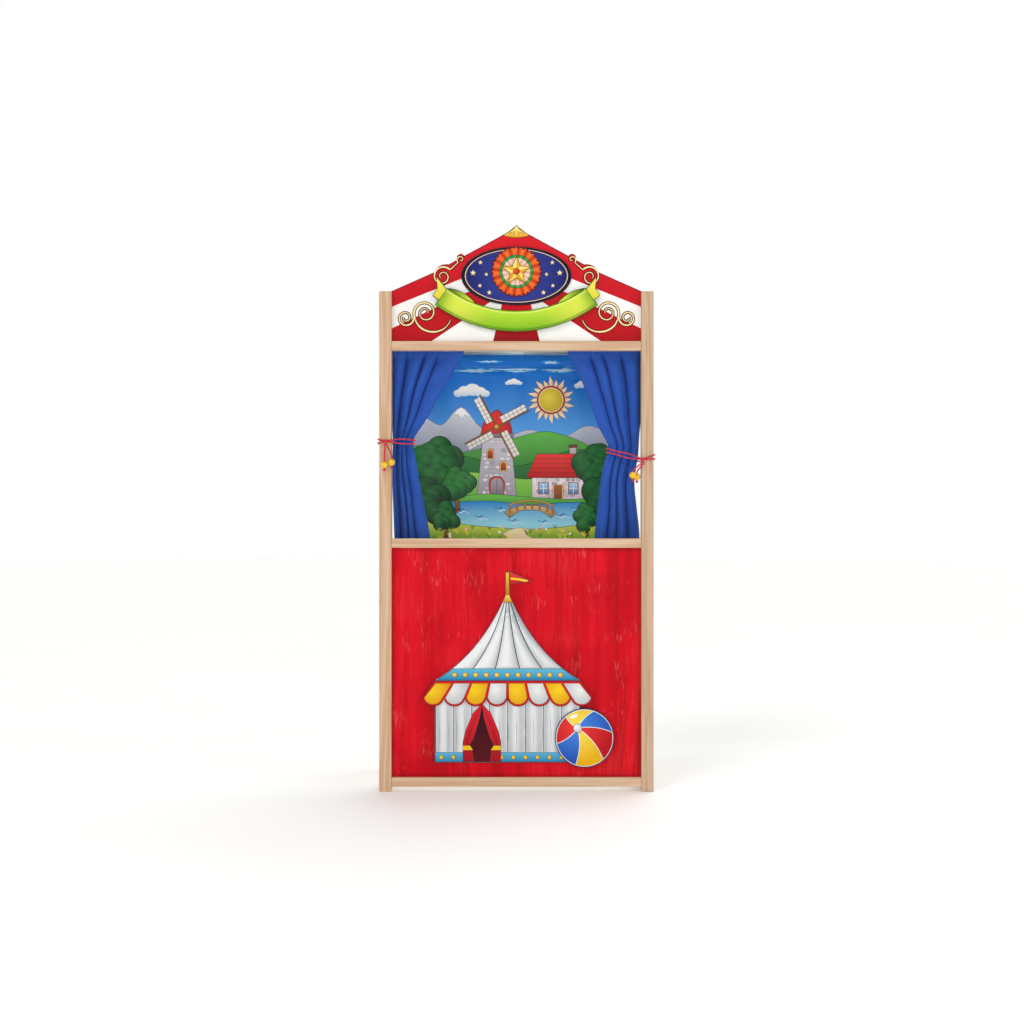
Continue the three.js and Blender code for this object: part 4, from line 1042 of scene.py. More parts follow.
# %% Curtain folds
def fold_at(u, fact, z):
    """How far back the cloth lies, from -1 on a crest to 1 in a valley, and how much painted shade it gets
    near a valley.
    """
    waist, seed = fact["waist"], fact["seed"]
    drift = 0.025 * sin(z * 0.013 + seed) + 0.012 * sin(z * 0.041 + 2 * seed + 5 * u)
    u = min(max(u + drift * sin(pi * u), 0), 1)
    valleys, depths = fact["valleys"], fact["depths"]
    k = next((i for i in range(len(valleys) - 1) if u <= valleys[i + 1]), len(valleys) - 2)
    t = (u - valleys[k]) / (valleys[k + 1] - valleys[k])
    depth = depths[k] + (depths[k + 1] - depths[k]) * t
    crest = sin(pi * min(max(t, 0), 1)) ** 0.75
    lean = 0.22 * sin(FULL_TURN * t) * (1 if k % 2 else -1)
    broad = (1 - 2 * crest) * depth + lean * depth
    gather = exp(-((curtain_rod_z - z) / 26) ** 2)
    squeeze = exp(-(abs(z - waist) / 34) ** 1.3)
    crimp = sin(FULL_TURN * (u * 9 + 0.25 * sin(9 * u + seed)))
    small = sin(FULL_TURN * (u * 13 + 0.3 * sin(7 * u + 2 * seed)))
    valley = max(0.0, 1 - abs(t) * 6) * depths[k] + max(0.0, 1 - abs(1 - t) * 6) * depths[k + 1]
    return broad * (1 - 0.45 * gather), 0.4 * squeeze * crimp + 0.2 * gather * small, valley


def soft_step(x):
    x = min(max(x, 0), 1)
    return x * x * (3 - 2 * x)


def near_rod(z):
    """From 0 on the hanging cloth to 1 where it lies on its rod."""
    return soft_step((z - curtain_rod_z + 34) / 34)


def curtain_place(fact, u, z, turn=None):
    """A point of a curtain: u runs from its inner edge to the post, and turn goes over the rod."""
    side, waist, seed = fact["side"], fact["waist"], fact["seed"]
    inner, outer = through(fact["inner"], z), through(fact["outer"], z)
    open_share = soft_step((abs(z - waist) - 12) / 150)
    held = near_rod(z)
    broad, small, valley = fold_at(u, fact, z)
    radius = sleeve_radius * (1 + 0.1 * sin(FULL_TURN * (13 * u + 0.3 * sin(7 * u + seed))))
    if turn is not None:
        y, height = rod_depth - radius * cos(turn), z + radius * sin(turn)
    else:
        swing = (4.6 + 3.6 * open_share) * broad * (1 - 0.8 * held) + 4.5 * small
        y, height = rod_depth + swing * (1 - held) - radius * held, z
        y -= 0.5 if z < hem_z + 12 else 0
    slide = 0.9 * sin(z * 0.021 + 3 * u + seed) * open_share * sin(pi * u)
    x = inner + (outer - inner) * u + slide + 1.8 * small * (1 - held)
    return place(side * x, y, height)


print("a fold at the tie:", [round(v, 2) for v in fold_at(0.4, curtain_facts["left"], 710)])


# %% Sweep the curtains
def make_curtain(name, fact, columns=132, rows=96):
    """The cloth from its hem up the front, over the rod and down to the pocket's seam."""
    side = fact["side"]
    lines = [(hem_z + (curtain_rod_z - hem_z) * i / rows, None) for i in range(rows + 1)]
    lines += [(curtain_rod_z, pi * i / 12) for i in range(1, 13)]
    lines += [(curtain_rod_z - 3 * i, pi) for i in range(1, 7)]
    points, uv, valley_shade = [], [], []
    for z, turn in lines:
        previous, travelled = None, 0.0
        for c in range(columns + 1):
            u = c / columns
            point = curtain_place(fact, u, z, turn)
            travelled += (point - previous).length if previous is not None else 0.0
            previous = point
            points.append(point)
            uv.append((travelled, z * MM + (0.02 if turn else 0)))
            on_front = (1 - near_rod(z)) if turn is None else 0.0
            valley_shade.append(min(fold_at(u, fact, z)[2], 1.0) * on_front)
    wide = columns + 1
    faces = []
    for r in range(len(lines) - 1):
        for c in range(columns):
            a, b = r * wide + c, (r + 1) * wide + c
            faces.append((a, a + 1, b + 1, b) if side > 0 else (a, b, b + 1, a + 1))
    cloth = mesh_piece("curtain_" + name + "_cloth", points, faces, curtain_cloth)
    add_uv(cloth, uv)
    # The valley attribute holds the painted shade of the fold valleys on the cloth's front.
    layer = cloth.data.attributes.new("valley", "FLOAT", "POINT")
    layer.data.foreach_set("value", valley_shade)
    wall = cloth.modifiers.new("thickness", "SOLIDIFY")
    wall.thickness, wall.offset = 0.8 * MM, 0
    area = sum(p.area for p in cloth.data.polygons)
    print(name, "curtain", len(faces), "faces,", round(area * 1e4), "square cm of cloth")
    return cloth


for name, fact in curtain_facts.items():
    cloth = make_curtain(name, fact)
    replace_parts(cloth, "curtain_" + name)

# %% [markdown]
# ## The backdrop
# The back wall of the stage is a satin cloth that hangs from a rod in a stitched pocket, with a short
# ruffle above it. Its print shows a stone windmill by a river: this stand's own picture, drawn with
# the same outlines and inks as the gable. The drawn mesh is then laid on the wrinkled cloth.

# %% Satin
satin, tree, shader = new_material(
    "printed satin", Sheen_Weight=0.04, Sheen_Roughness=0.3, Anisotropic=0.4, Specular_IOR_Level=0.22
)
paint = add(tree, "Attribute", {"attribute_name": "paint"})
surface = add(tree, "UVMap")
threads = use(tree, weave_group, UV=surface, Threads_per_metre=1500.0, Slub=0.8)
broad = noise(tree, surface, 9.0, 3.0)
shade = ramp(tree, times(tree, broad, 0.8, threads["Shade"]), [(0.3, 0.92), (0.9, 1.06)])
colour = mixed(tree, 1.0, paint, shade, "MULTIPLY")
wire(tree, shader, colour, times(tree, broad, 0.12, 0.26), threads["Height"], 0.0001, 0.35)
print("satin has 1500 threads to the metre")

# %% Sizes and pens of the picture
backdrop_depth, backdrop_rod_z = 172, 890
cloth_half, cloth_top, cloth_hem = 239, 911, 486
dark_line, stone_line, wood_line = "#12261a", "#2b2a30", "#2f2418"
print("picture", 2 * cloth_half, "by", cloth_top - cloth_hem, "mm")


# %% Trees and clouds
def crown(x, z, size, light, dark, lumps, seed):
    """A round tree crown: lumps of leaves with lit tops."""
    chance = random.Random(seed)
    rounds = []
    for k in range(lumps):
        angle = 2.4 * k + chance.uniform(-0.3, 0.3)
        reach = size * 0.62 * sqrt((k + 0.5) / lumps)
        a, b = x + reach * cos(angle) * 1.05, z + reach * sin(angle)
        rounds.append((a, b, size * chance.uniform(0.36, 0.5)))
    rounds.sort(key=lambda r: -r[1])
    shapes = [(ellipse(a, b, r + 1.3, steps=22), ink("#0c2415")) for a, b, r in rounds]
    for a, b, r in rounds:
        shapes.append((ellipse(a, b, r, steps=22), glow(light, dark, a - r * 0.25, b + r * 0.5, r * 1.25)))
        for k in range(3):
            turn = chance.uniform(0.4, 2.6)
            leaf = [(-3.2, -0.6), (0, 1.6), (3.2, -0.6)]
            leaf = shifted(leaf, a + r * 0.55 * cos(turn), b + r * 0.45 * sin(turn))
            shapes.append(drawn(leaf, 1.1, "#0f3119" if k % 2 else "#3f8f45"))
    return shapes


def leafy_tree(x, z, size, trunk, light, dark, lumps, seed):
    foot = z - trunk
    wood = [(x - size * 0.13, foot), (x - size * 0.07, z), (x + size * 0.07, z)]
    wood += [(x + size * 0.14, foot), (x + size * 0.03, foot + 3), (x - size * 0.02, foot - 2)]
    bark = fade("#5a3a1d", "#a5733c", foot, z)
    return lined(wood, bark, 1.0, dark_line) + crown(x, z + size * 0.45, size, light, dark, lumps, seed)


def cloud(x, z, size):
    lobes = [(-1.5, 0, 0.5), (-0.8, 0.25, 0.72), (0.1, 0.42, 0.85), (0.95, 0.18, 0.68), (1.6, -0.02, 0.45)]
    white = fade("#b9d9f0", "#ffffff", z - size * 0.5, z + size * 0.4)
    shapes = []
    for rim, fill in ((0.8, ink("#7fb4dd")), (0, white)):
        for a, b, r in lobes:
            reach = r * size + rim
            shapes.append((ellipse(x + a * size, z + b * size, reach, reach * 0.8, 22), fill))
    return shapes


def sheen_streak(x, z, long, tall, seed):
    """A thin, ragged light streak: a painted highlight of the satin's sheen, drawn like high cloud."""
    chance = random.Random(seed)
    steps = 12
    above, below = [], []
    for i in range(steps + 1):
        swell = sin(pi * (0.04 + 0.92 * i / steps)) ** 0.7 * tall
        along = x + long * (2 * i / steps - 1)
        above.append((along + chance.uniform(-2, 2), z + swell * chance.uniform(0.35, 1.2)))
        below.append((along + chance.uniform(-2, 2), z - swell * chance.uniform(0.2, 0.9)))
    return curved(above + below[::-1], 3)


print("a cloud is", len(cloud(0, 0, 10)), "shapes")


# %% Land and walls
def ridge(points, low, high, z0, z1, code):
    """Land below a skyline, out to the cloth's edges, with a line along the top."""
    skyline = curved(points, 5, False)
    corners = [(cloth_half, cloth_hem), (-cloth_half, cloth_hem)]
    line = shifted(skyline, 0, 1.1) + corners
    return [(line, ink(code)), (skyline + corners, fade(low, high, z0, z1))]


def stone_wall(outline, x0, x1, z0, z1, light, dark, seed, course=9):
    """A wall with some of its stones drawn."""
    shapes = lined(outline, fade(dark, light, z0, z1), 1.1, stone_line)
    chance = random.Random(seed)
    for r in range(int((z1 - z0) / course)):
        z = z0 + (r + 0.5) * course
        x = x0 + chance.uniform(2, 10)
        while x < x1 - 8:
            width = chance.uniform(7, 12)
            if chance.random() < 0.62:
                corners = [(x, z - course * 0.3), (x + width * 0.8, z - course * 0.34)]
                corners += [(x + width * 0.84, z + course * 0.26), (x + 0.5, z + course * 0.3)]
                greys = ["#d9d3da", "#b9b2bd", "#a49daa", "#cfc5cc"]
                fill = ink(greys[int(chance.uniform(0.0, 1.0) * 3.99)])
                shapes += lined(curved(corners, 3), fill, 0.55, "#6d6872")
            x += width + 2.2
    return shapes


def framed(opening, by, code, fill, line=0.9):
    """A window or door with its frame."""
    return lined(grown(opening, by), ink(code), line, stone_line) + [(opening, fill)]


print("land has", len(ridge([(-239, 700), (239, 700)], "#000000", "#ffffff", 0, 1, "#000000")), "layers")

# %% Sky and sun
sky = fade("#62aeee", "#0e74d6", 690, 850)
# The ruffle strip above the rod is printed near white: a painted highlight of the satin's sheen.
heading = fade("#3f98e4", "#e2f8ff", 901, 906)
picture = [
    (rectangle(-cloth_half, cloth_hem, cloth_half, cloth_top), sky),
    (rectangle(-cloth_half, 902, cloth_half, cloth_top), heading),
]
# Light streaks under the rod: painted highlights of the satin's sheen, drawn as thin high cloud.
sheen_streaks = [
    (0, 870, 205, 4.6, 12),
    (-86, 868, 60, 7.5, 3),
    (-58, 887, 34, 4.6, 4),
    (92, 869, 50, 8.0, 5),
    (74, 885, 22, 6.0, 6),
    (4, 867, 36, 3.6, 9),
    (184, 868, 40, 5.0, 7),
    (-186, 867, 38, 5.0, 8),
]
for x, z, long, tall, seed in sheen_streaks:
    for share, code in ((1.0, "#2584de"), (0.78, "#5aaeee"), (0.56, "#b9dffa")):
        picture.append((sheen_streak(x, z, long * share, tall * share, seed), ink(code)))
picture += cloud(-96, 820, 19) + cloud(-6, 842, 9) + cloud(150, 836, 13)
sun_x, sun_z, sun_r = 74, 806, 25
for k in range(20):
    size = 20 if k % 2 else 13
    inner, outer, half = sun_r + 4.5, sun_r + 6 + size, 0.13
    bends = [(inner, -half), (inner + size * 0.5, -half * 0.75), (outer, 0.05)]
    bends += [(inner + size * 0.4, half * 0.9), (inner, half)]
    flame = [around(sun_x, sun_z, reach, FULL_TURN * k / 20 + lean) for reach, lean in bends]
    picture += lined(flame, glow("#e2571b", "#fff0c0", sun_x, sun_z, outer - 4), 0.8, "#a03010")
sun_face = glow("#f4dd45", "#c9a91e", sun_x - 5, sun_z + 6, 34)
for wider, fill in ((5.5, ink("#a7321a")), (1.6, ink("#f6e3c4")), (0, sun_face)):
    picture.append((ellipse(sun_x, sun_z, sun_r + wider, steps=60), fill))
print("sky:", len(picture), "shapes")

# %% Hills
mountains = [
    (-239, 742), (-200, 768), (-160, 752), (-118, 790), (-78, 748), (-30, 726), (30, 742),
    (90, 722), (150, 750), (200, 738), (239, 752),
]
picture += ridge(mountains, "#8f97ad", "#dfe3ea", 700, 785, "#4b5a78")
high_snow = [(-132, 777), (-118, 790), (-101, 772), (-110, 776), (-117, 768), (-124, 776)]
low_snow = [(-208, 764), (-200, 768), (-188, 763), (-196, 759)]
picture += [(high_snow, ink("#ffffff")), (low_snow, ink("#ffffff"))]
far_hills = [(-239, 700), (-180, 712), (-120, 694), (-60, 706), (-10, 722), (60, 738)]
picture += ridge(
    far_hills + [(120, 724), (180, 700), (239, 716)], "#1d5f2c", "#5fb348", 640, 735, "#163f1f"
)
near_hills = [(-239, 668), (-150, 690), (-70, 676), (0, 664), (70, 684), (140, 700), (239, 676)]
picture += ridge(near_hills, "#175026", "#2f8038", 610, 700, "#123a1b")
meadow = [(-239, 640), (-150, 652), (-60, 648), (20, 636), (100, 646), (170, 640), (239, 650)]
picture += ridge(meadow, "#3f9a35", "#8ccb4c", 560, 655, "#1f5a22")
print("with the hills:", len(picture), "shapes")

# %% Windmill
mill_x, mill_foot, hub_z = -42, 600, 748
tower = shifted([(-42, mill_foot), (42, mill_foot), (29, 728), (-29, 728)], mill_x)
picture += stone_wall(tower, mill_x - 34, mill_x + 34, mill_foot + 4, 724, "#c9c3cc", "#9b95a3", 4)
collar = rectangle(mill_x - 36, 726, mill_x + 36, 735)
picture += lined(collar, fade("#6d5b63", "#a08b94", 726, 735), 1.0, stone_line)
cap = [(-33, 735), (-27, 758), (-10, 777), (0, 784), (10, 777), (27, 758), (33, 735)]
cap = curved(shifted(cap, mill_x), 5, False)
picture += lined(cap, glow("#ef3b34", "#b3141d", mill_x - 12, 760, 48), 1.2, "#3b0a0e")
for k in (-0.5, 0, 0.5):
    seam = shifted([(60 * k, 737), (44 * k, 760), (6 * k, 781)], mill_x)
    picture.append(drawn(seam, 1.0, "#8a0f18"))


def on_sail(turn, *spots):
    """Places on a sail: the first number runs out from the hub, the second lies beside the spar."""
    ux, uz = cos(turn), sin(turn)
    return [(mill_x + ux * a - uz * b, hub_z + uz * a + ux * b) for a, b in spots]


for k in range(4):
    turn = radians(28 + 90 * k)
    canvas = fade("#d8d5cf", "#fffdf6", hub_z - 60, hub_z + 60)
    picture += lined(on_sail(turn, *rectangle(16, 1.5, 74, 16)), canvas, 1.0, wood_line)
    bars = [[(16 + 58 * j / 6, 1.5), (16 + 58 * j / 6, 16)] for j in range(1, 6)] + [[(16, 8.8), (74, 8.8)]]
    picture += [drawn(on_sail(turn, *bar), 0.9, "#7a5a34", False) for bar in bars]
    spar = stroke(on_sail(turn, (0, 0), (78, 0)), 3.0)
    picture += lined(spar, ink("#8a5a2b"), 0.6, wood_line)
hub = ellipse(mill_x, hub_z, 5.5, steps=20)
picture += lined(hub, glow("#f0c860", "#a06a20", mill_x - 1, hub_z + 2, 6), 1.0, wood_line)
for x, z in ((mill_x - 14, 690), (mill_x + 14, 664)):
    window = arched(x, 6, z - 9, z + 3, 10)
    picture += framed(window, 1.8, "#e9c77a", fade("#7a2a1a", "#c2502a", z - 9, z + 9))
door = arched(mill_x, 13, mill_foot + 1, 626, 14)
picture += framed(door, 3.4, "#c8323c", fade("#6f6a72", "#a59da6", mill_foot, 638), 1.0)
picture.append(drawn([(mill_x, mill_foot + 2), (mill_x, 638)], 1.0, "#4b464e", False))
print("with the windmill:", len(picture), "shapes")

# %% Cottage
house_x, house_foot = 88, 588
wall = rectangle(house_x - 54, house_foot, house_x + 56, 644)
picture += stone_wall(wall, house_x - 48, house_x + 52, house_foot + 3, 642, "#efe6ea", "#c9b4c0", 9, 8)
chimney = rectangle(house_x + 26, 668, house_x + 40, 706)
picture += lined(chimney, fade("#8d7d88", "#c6b8c2", 668, 706), 1.0, stone_line)
chimney_cap = rectangle(house_x + 23.5, 704, house_x + 42.5, 710)
picture += lined(chimney_cap, ink("#7d3b35"), 0.8, stone_line)
roof = shifted([(-66, 640), (68, 640), (46, 690), (-44, 690)], house_x)
picture += lined(roof, fade("#b3141d", "#e63a35", 640, 690), 1.2, "#3b0a0e")
for r in range(1, 5):
    x0, x1 = house_x - 66 + 4.4 * r, house_x + 68 - 4.4 * r
    tiles = [(x0 + (x1 - x0) * i / 24, 640 + 10 * r + (1.4 if i % 2 else -1.4)) for i in range(25)]
    picture.append(drawn(tiles, 1.0, "#7f0d16", False))
for x in (house_x - 30, house_x + 34):
    window = rectangle(x - 9, 606, x + 9, 628)
    picture += framed(window, 2.0, "#a8472a", fade("#3b6fa8", "#9ed0f0", 606, 628))
    for bar in ([(x, 606), (x, 628)], [(x - 9, 617), (x + 9, 617)]):
        picture.append(drawn(bar, 1.4, "#f1e6d0", False))
door = rectangle(house_x - 8, house_foot + 1, house_x + 10, 624)
picture += framed(door, 1.8, "#e9c77a", fade("#6e3a1c", "#9d5a2c", house_foot, 624))
print("with the cottage:", len(picture), "shapes")

# %% River and bridge
far_bank = [(-239, 606), (-150, 598), (-60, 604), (20, 598), (110, 593), (180, 597), (239, 602)]
river = [(-239, 576), (-150, 585), (-60, 589), (30, 581), (120, 586), (239, 577)]
river = curved(river + [(x, cloth_hem) for x in (239, 120, 20, -120, -239)], 5)
picture += ridge(far_bank, "#2c8a3a", "#6fc04a", 575, 606, "#1a5626")
picture += lined(river, fade("#93d6ec", "#2480c8", 540, 588), 1.3, "#174f7c")
ripples = [(-120, 571, 30), (-78, 556, 26), (-36, 574, 24), (-6, 548, 28), (58, 546, 26)]
ripples += [(96, 560, 32), (128, 575, 24), (-130, 552, 22)]
for x, z, size in ripples:
    wave = [(x + size * (i / 8 - 0.5), z + 2.6 * sin(i * 1.57)) for i in range(9)]
    picture += [drawn(wave, 2.6, "#1c64ac"), drawn(shifted(wave, 5, -4.5), 1.5, "#e8f8ff")]
bridge = curved([(-26, 566), (0, 577), (30, 580), (60, 577), (86, 566)], 6, False)
bridge += curved([(74, 554), (54, 568), (30, 571), (6, 568), (-14, 554)], 6, False)
picture += lined(bridge, fade("#8c6b45", "#d9b27a", 554, 580), 1.0, "#2b2118")
for x in (-14, 2, 18, 34, 50, 66, 78):
    low = 579 - abs(x - 30) ** 2 / 210
    picture += lined(rectangle(x - 1.8, low - 6, x + 1.8, low + 14), ink("#a87842"), 0.7, "#2b2118")
rail_line = [(x, 591 - abs(x - 30) ** 2 / 210) for x in range(-16, 81, 8)]
picture += lined(stroke(rail_line, 2.6), ink("#c4935a"), 0.7, "#2b2118")
print("with the river:", len(picture), "shapes")

# %% Near bank, trees and flowers
near_bank = [(-239, 556), (-170, 549), (-110, 539), (-40, 532), (30, 529), (110, 535)]
near_bank += [(170, 546), (239, 554)]
picture += ridge(near_bank, "#4f9428", "#d2dc52", 504, 546, "#2b5a1c")
path = [(-40, 486), (-16, 508), (-28, 520), (0, 531), (26, 529), (22, 518), (44, 504), (64, 486)]
picture += lined(curved(path, 5), fade("#c7b48c", "#efe3bd", 490, 530), 0.9, "#7a6a3c")
trees = [
    (-170, 640, 60, 60, "#2f7d3c", "#0f3d20", 13, 3),
    (-126, 610, 40, 44, "#3a8a3e", "#14502a", 9, 5),
    (-196, 560, 56, 40, "#256b36", "#0b351c", 12, 7),
    (-150, 540, 34, 32, "#2f7d3c", "#0f4022", 8, 8),
    (170, 640, 52, 54, "#2a7438", "#0e3a1f", 12, 11),
    (196, 566, 60, 46, "#246a35", "#0b341b", 13, 13),
    (150, 542, 32, 30, "#35833d", "#11472a", 8, 17),
]
for facts in trees:
    picture += leafy_tree(*facts)
chance = random.Random(21)
for k in range(60):
    x, z = chance.uniform(-190, 190), chance.uniform(494, 530)
    for lean in (-0.5, 0.0, 0.5):
        blade = shifted([(0, 0), (lean * 5, 6), (lean * 10, 10)], x, z)
        picture.append(drawn(blade, 1.4, "#2f6a1e" if k % 2 else "#e6d84a"))
for k in range(22):
    x, z = chance.uniform(-150, 150), chance.uniform(498, 534)
    petals = ink("#ffffff" if k % 2 else "#ffb0c0")
    picture += [(ellipse(x, z, 2.6, steps=10), petals), (ellipse(x, z, 1.0, steps=8), ink("#f4b81c"))]
print("whole picture:", len(picture), "shapes")

# %% Wrinkled cloth
seam_z, rod_lift = 877, 8.6


def hump(x, middle, spread):
    """A smooth rise to one at the middle."""
    return exp(-(((x - middle) / spread) ** 2))


def wrinkle(x, z):
    """How far in front of its plane the backdrop hangs, in millimetres."""
    u = (x + cloth_half) / (2 * cloth_half)
    round_u = FULL_TURN * u
    drop = (backdrop_rod_z - z) / (backdrop_rod_z - cloth_hem)
    hang = 1.9 * (1 - 0.35 * drop) * sin(5.5 * round_u + 0.8 * sin(z * 0.008))
    hang += 0.7 * sin(14 * round_u + z * 0.02) * max(0.0, 1 - drop * 2.4)
    over_rod = hump(z, backdrop_rod_z, 10)
    gather = sin(23 * round_u + 2.2 * sin(u * 11))
    ruffle = (2.6 * gather + 1.2) * soft_step((z - 898) / 9)
    fold_z = seam_z - 14 + 2.5 * sin(1.7 * round_u + 0.5)
    puff = (3.6 - 2.2 * cos(2 * round_u) + 0.8 * sin(5 * round_u + 1)) * hump(z, fold_z, 7.5)
    crumple = sin(z * 0.21 + 2.4 * sin(u * 13) + gather * 0.5) * hump(z, seam_z - 10, 15)
    held = 0.35 * gather * hump(z, seam_z, 14) - 1.1 * hump(z, seam_z, 3.2)
    return hang * (1 - 0.75 * over_rod) + rod_lift * over_rod + ruffle + puff + crumple + held


def on_cloth(x, z):
    """A place of the picture in space, once the cloth hangs."""
    pull = 0.6 * sin(z * 0.035) * (x / cloth_half) ** 3
    sag = 0.8 * sin(x * 0.045) * soft_step((520 - z) / 30)
    return place(x + pull, backdrop_depth - wrinkle(x, z), z + sag)


backdrop, flat = print_mesh("backdrop_picture", picture, 5.0, on_cloth, satin, "backdrop")


# %% The cloth's plain back
def cloth_looks(x, z):
    """The way that the front of the cloth looks at a place of its picture."""
    across = on_cloth(x + 0.3, z) - on_cloth(x - 0.3, z)
    up = on_cloth(x, z + 0.3) - on_cloth(x, z - 0.3)
    return across.cross(up).normalized()


looks = [cloth_looks(p.x, p.y) for p in flat]
sheet = backdrop.data
fronts = [vertex.co.copy() for vertex in sheet.vertices]
count = len(fronts)
inks = [0.0] * (4 * len(sheet.loops))
sheet.color_attributes["paint"].data.foreach_get("color", inks)
pale = srgb("#e9eef4")
faces, tints, beside = [], [], {}
for face in sheet.polygons:
    corners = tuple(face.vertices)
    own = [tuple(inks[4 * k : 4 * k + 3]) for k in face.loop_indices]
    faces.append(corners)
    tints.append(own)
    for i in range(len(corners)):
        beside[corners[i - 1], corners[i]] = own[i - 1], own[i]
for corners, own in list(zip(faces, tints)):
    faces.append(tuple(count + v for v in reversed(corners)))
    tints.append([blend_of(tint, pale, 0.62) for tint in reversed(own)])
for (a, b), (tint_a, tint_b) in beside.items():
    if (b, a) not in beside:
        faces.append((b, a, count + a, count + b))
        tints.append([tint_b, tint_a, tint_a, tint_b])
cloth_thickness = 0.5 * MM
backs = [p - way * cloth_thickness for p, way in zip(fronts, looks)]
closed = bpy.data.meshes.new("backdrop_picture")
closed.from_pydata([tuple(p) for p in fronts + backs], [], faces)
closed.update()
closed.polygons.foreach_set("use_smooth", [True] * len(faces))
closed.materials.append(satin)
layer = closed.color_attributes.new("paint", "FLOAT_COLOR", "CORNER")
layer.data.foreach_set("color", [value for own in tints for tint in own for value in (*tint, 1.0)])
backdrop.data = closed
add_uv(backdrop, [(p.x * MM, p.y * MM) for p in flat] * 2)
closed.normals_split_custom_set_from_vertices([tuple(sign * way) for sign in (1, -1) for way in looks])
print("backdrop", len(faces), "faces with its back")

# %% Pocket for the rod
pocket_rows = [
    (905, 1.0), (901, 2.4), (897.5, 5.2), (894, 7.2), (890, 7.9), (886, 7.2), (882, 4.8), (878, 1.8),
    (874, 1.0),
]
points, uv = [], []
columns = 150
for z, back in pocket_rows:
    for i in range(columns + 1):
        x = -cloth_half + 2 * cloth_half * i / columns
        lift = wrinkle(x, z) - rod_lift * hump(z, backdrop_rod_z, 10)
        ripple = 0.8 * sin(i * 0.9) * soft_step((back - 2) / 4)
        points.append(place(x, backdrop_depth - lift + back + ripple, z))
        uv.append((x * MM, z * MM))
wide = columns + 1
faces = []
for r in range(len(pocket_rows) - 1):
    for a in range(r * wide, r * wide + columns):
        faces.append((a, a + 1, a + wide + 1, a + wide))
pocket_satin = satin.copy()
pocket_satin.name = "backdrop pocket satin"
pocket = mesh_piece("backdrop_pocket", points, faces, pocket_satin, "backdrop")
add_uv(pocket, uv)
tint = pocket.data.color_attributes.new("paint", "FLOAT_COLOR", "CORNER")
for entry in tint.data:
    entry.color = (*blend_of(srgb("#1450a0"), pale, 0.6), 1)
wall = pocket.modifiers.new("thickness", "SOLIDIFY")
wall.thickness, wall.offset = cloth_thickness, 0
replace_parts(backdrop, "backdrop_cloth")
print("pocket", len(faces), "faces")

# %% [markdown]
# ## The gable
# The board is striped like the roof of a tent: red and white panels fan out from the peak. The fan is
# five outlines, each cut off where it leaves the board. A darker red line follows the edge, and the
# peak ends in a gilded finial. From behind the board is plain plywood.

# %% Gable board
header_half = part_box("header_board")[1][0] / MM
header_front = front_of("header_board")
knee_x, peak_x = 0.636 * header_half, 27
eave, knee, peak = base + 98.5, base + 141, base + 217
red, white = "#dc0b1d", "#fdfbf8"


def slope_z(x):
    """Height of the gable's upper slope."""
    return knee + (peak - knee) * (knee_x - x) / (knee_x - peak_x)


gable = [(-header_half, base - 5), (header_half, base - 5), (header_half, eave), (knee_x, knee)]
gable.append((peak_x, peak))
for t in range(1, 9):
    share = t / 8
    gable.append((peak_x * (1 - share), peak + 14 * (1 - share) * share + 20 * share ** 2))
gable += mirror(gable[2:-1])
print("gable", round(2 * header_half, 1), "mm wide,", len(gable), "corners")


# %% Stripes
def white_stripe(low, high):
    """Both halves of a white stripe between two sloping lines, darker along its lower edge."""
    shade = srgb(white)
    dark = blend_of(shade, srgb("#3a0508"), 0.1)

    def colour(x, z):
        top, bottom = high[0] - high[1] * abs(x), low[0] - low[1] * abs(x)
        share = (z - bottom) / max(top - bottom, 1)
        return blend_of(dark, shade, min(share * 3.2 + 0.35, 1))

    across = [0, 90, 180, header_half + 4]
    half = [(x, high[0] - high[1] * x) for x in across] + [(x, low[0] - low[1] * x) for x in across[::-1]]
    return [(half, colour), (mirror(half), colour)]


top_line, second_line, third_line, below_board = (1085.7, 0.4036), (1061, 0.479), (1029, 0.669), (700, 0.0)
stripes = white_stripe(second_line, top_line) + white_stripe(below_board, third_line)
middle = [(-49, base - 6), (49, base - 6), (14, 1054), (-14, 1054)]
stripes.append((middle, fade("#8d0b15", red, base - 4, base + 50)))
rim = [(grown(gable, -0.3), ink("#6d0910")), (grown(gable, -1.7), fade("#b90c19", "#df1a29", base, peak))]

finial = [(-25, -1), (-15, 5), (-5, 12), (0, 18), (5, 12), (15, 5), (25, -1), (12, -4.5), (0, -5.5)]
finial = curved(shifted(finial + [(-12, -4.5)], 0, peak), 4)
finial_print = lined(finial, fade("#e8a21a", "#fff38a", peak - 4, peak + 13), 1.3, "#5c1c0c")
for x in (-15, -6, 6, 15):
    line = [(x * 0.3, peak + 11 - abs(x) * 0.35), (x * 0.8, peak + 4), (x, peak - 2)]
    finial_print.append(drawn(line, 1.7, "#b4700f"))
print("gable print:", len(rim + stripes + finial_print), "shapes")

# %% [markdown]
# ## Scrolls
# Gold scrolls grow out from under the ribbon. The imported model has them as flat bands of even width.
# Here each is a half-round moulding on the same line that thins towards its ends, with a dark printed
# line under it, as a painter would shade one.

# %% Scroll lines
scroll_kinds = {
    "scroll": {
        "place": (185, base + 58.5, 24),
        "spirals": [(0, 0, 1, -0.086, 1.6), (1.667, -0.4375, 0.729, -0.541, 1.6)],
        "stem": [(0.858, -0.5125), (0.583, -1.854), (-1.625, -2.104), (-2.125, -0.604)],
    },
    "curl": {
        "place": (150, slope_z(150) - 18.3, 20.6),
        "spirals": [(0, 0, 1, 0.3836, -1.5), (-1.796, 1.675, 0.408, -0.1257, 0.9)],
        "stem": [(-0.743, 0.67), (-0.971, 0.874), (-1.311, 1.165), (-1.51, 1.388)],
    },
}


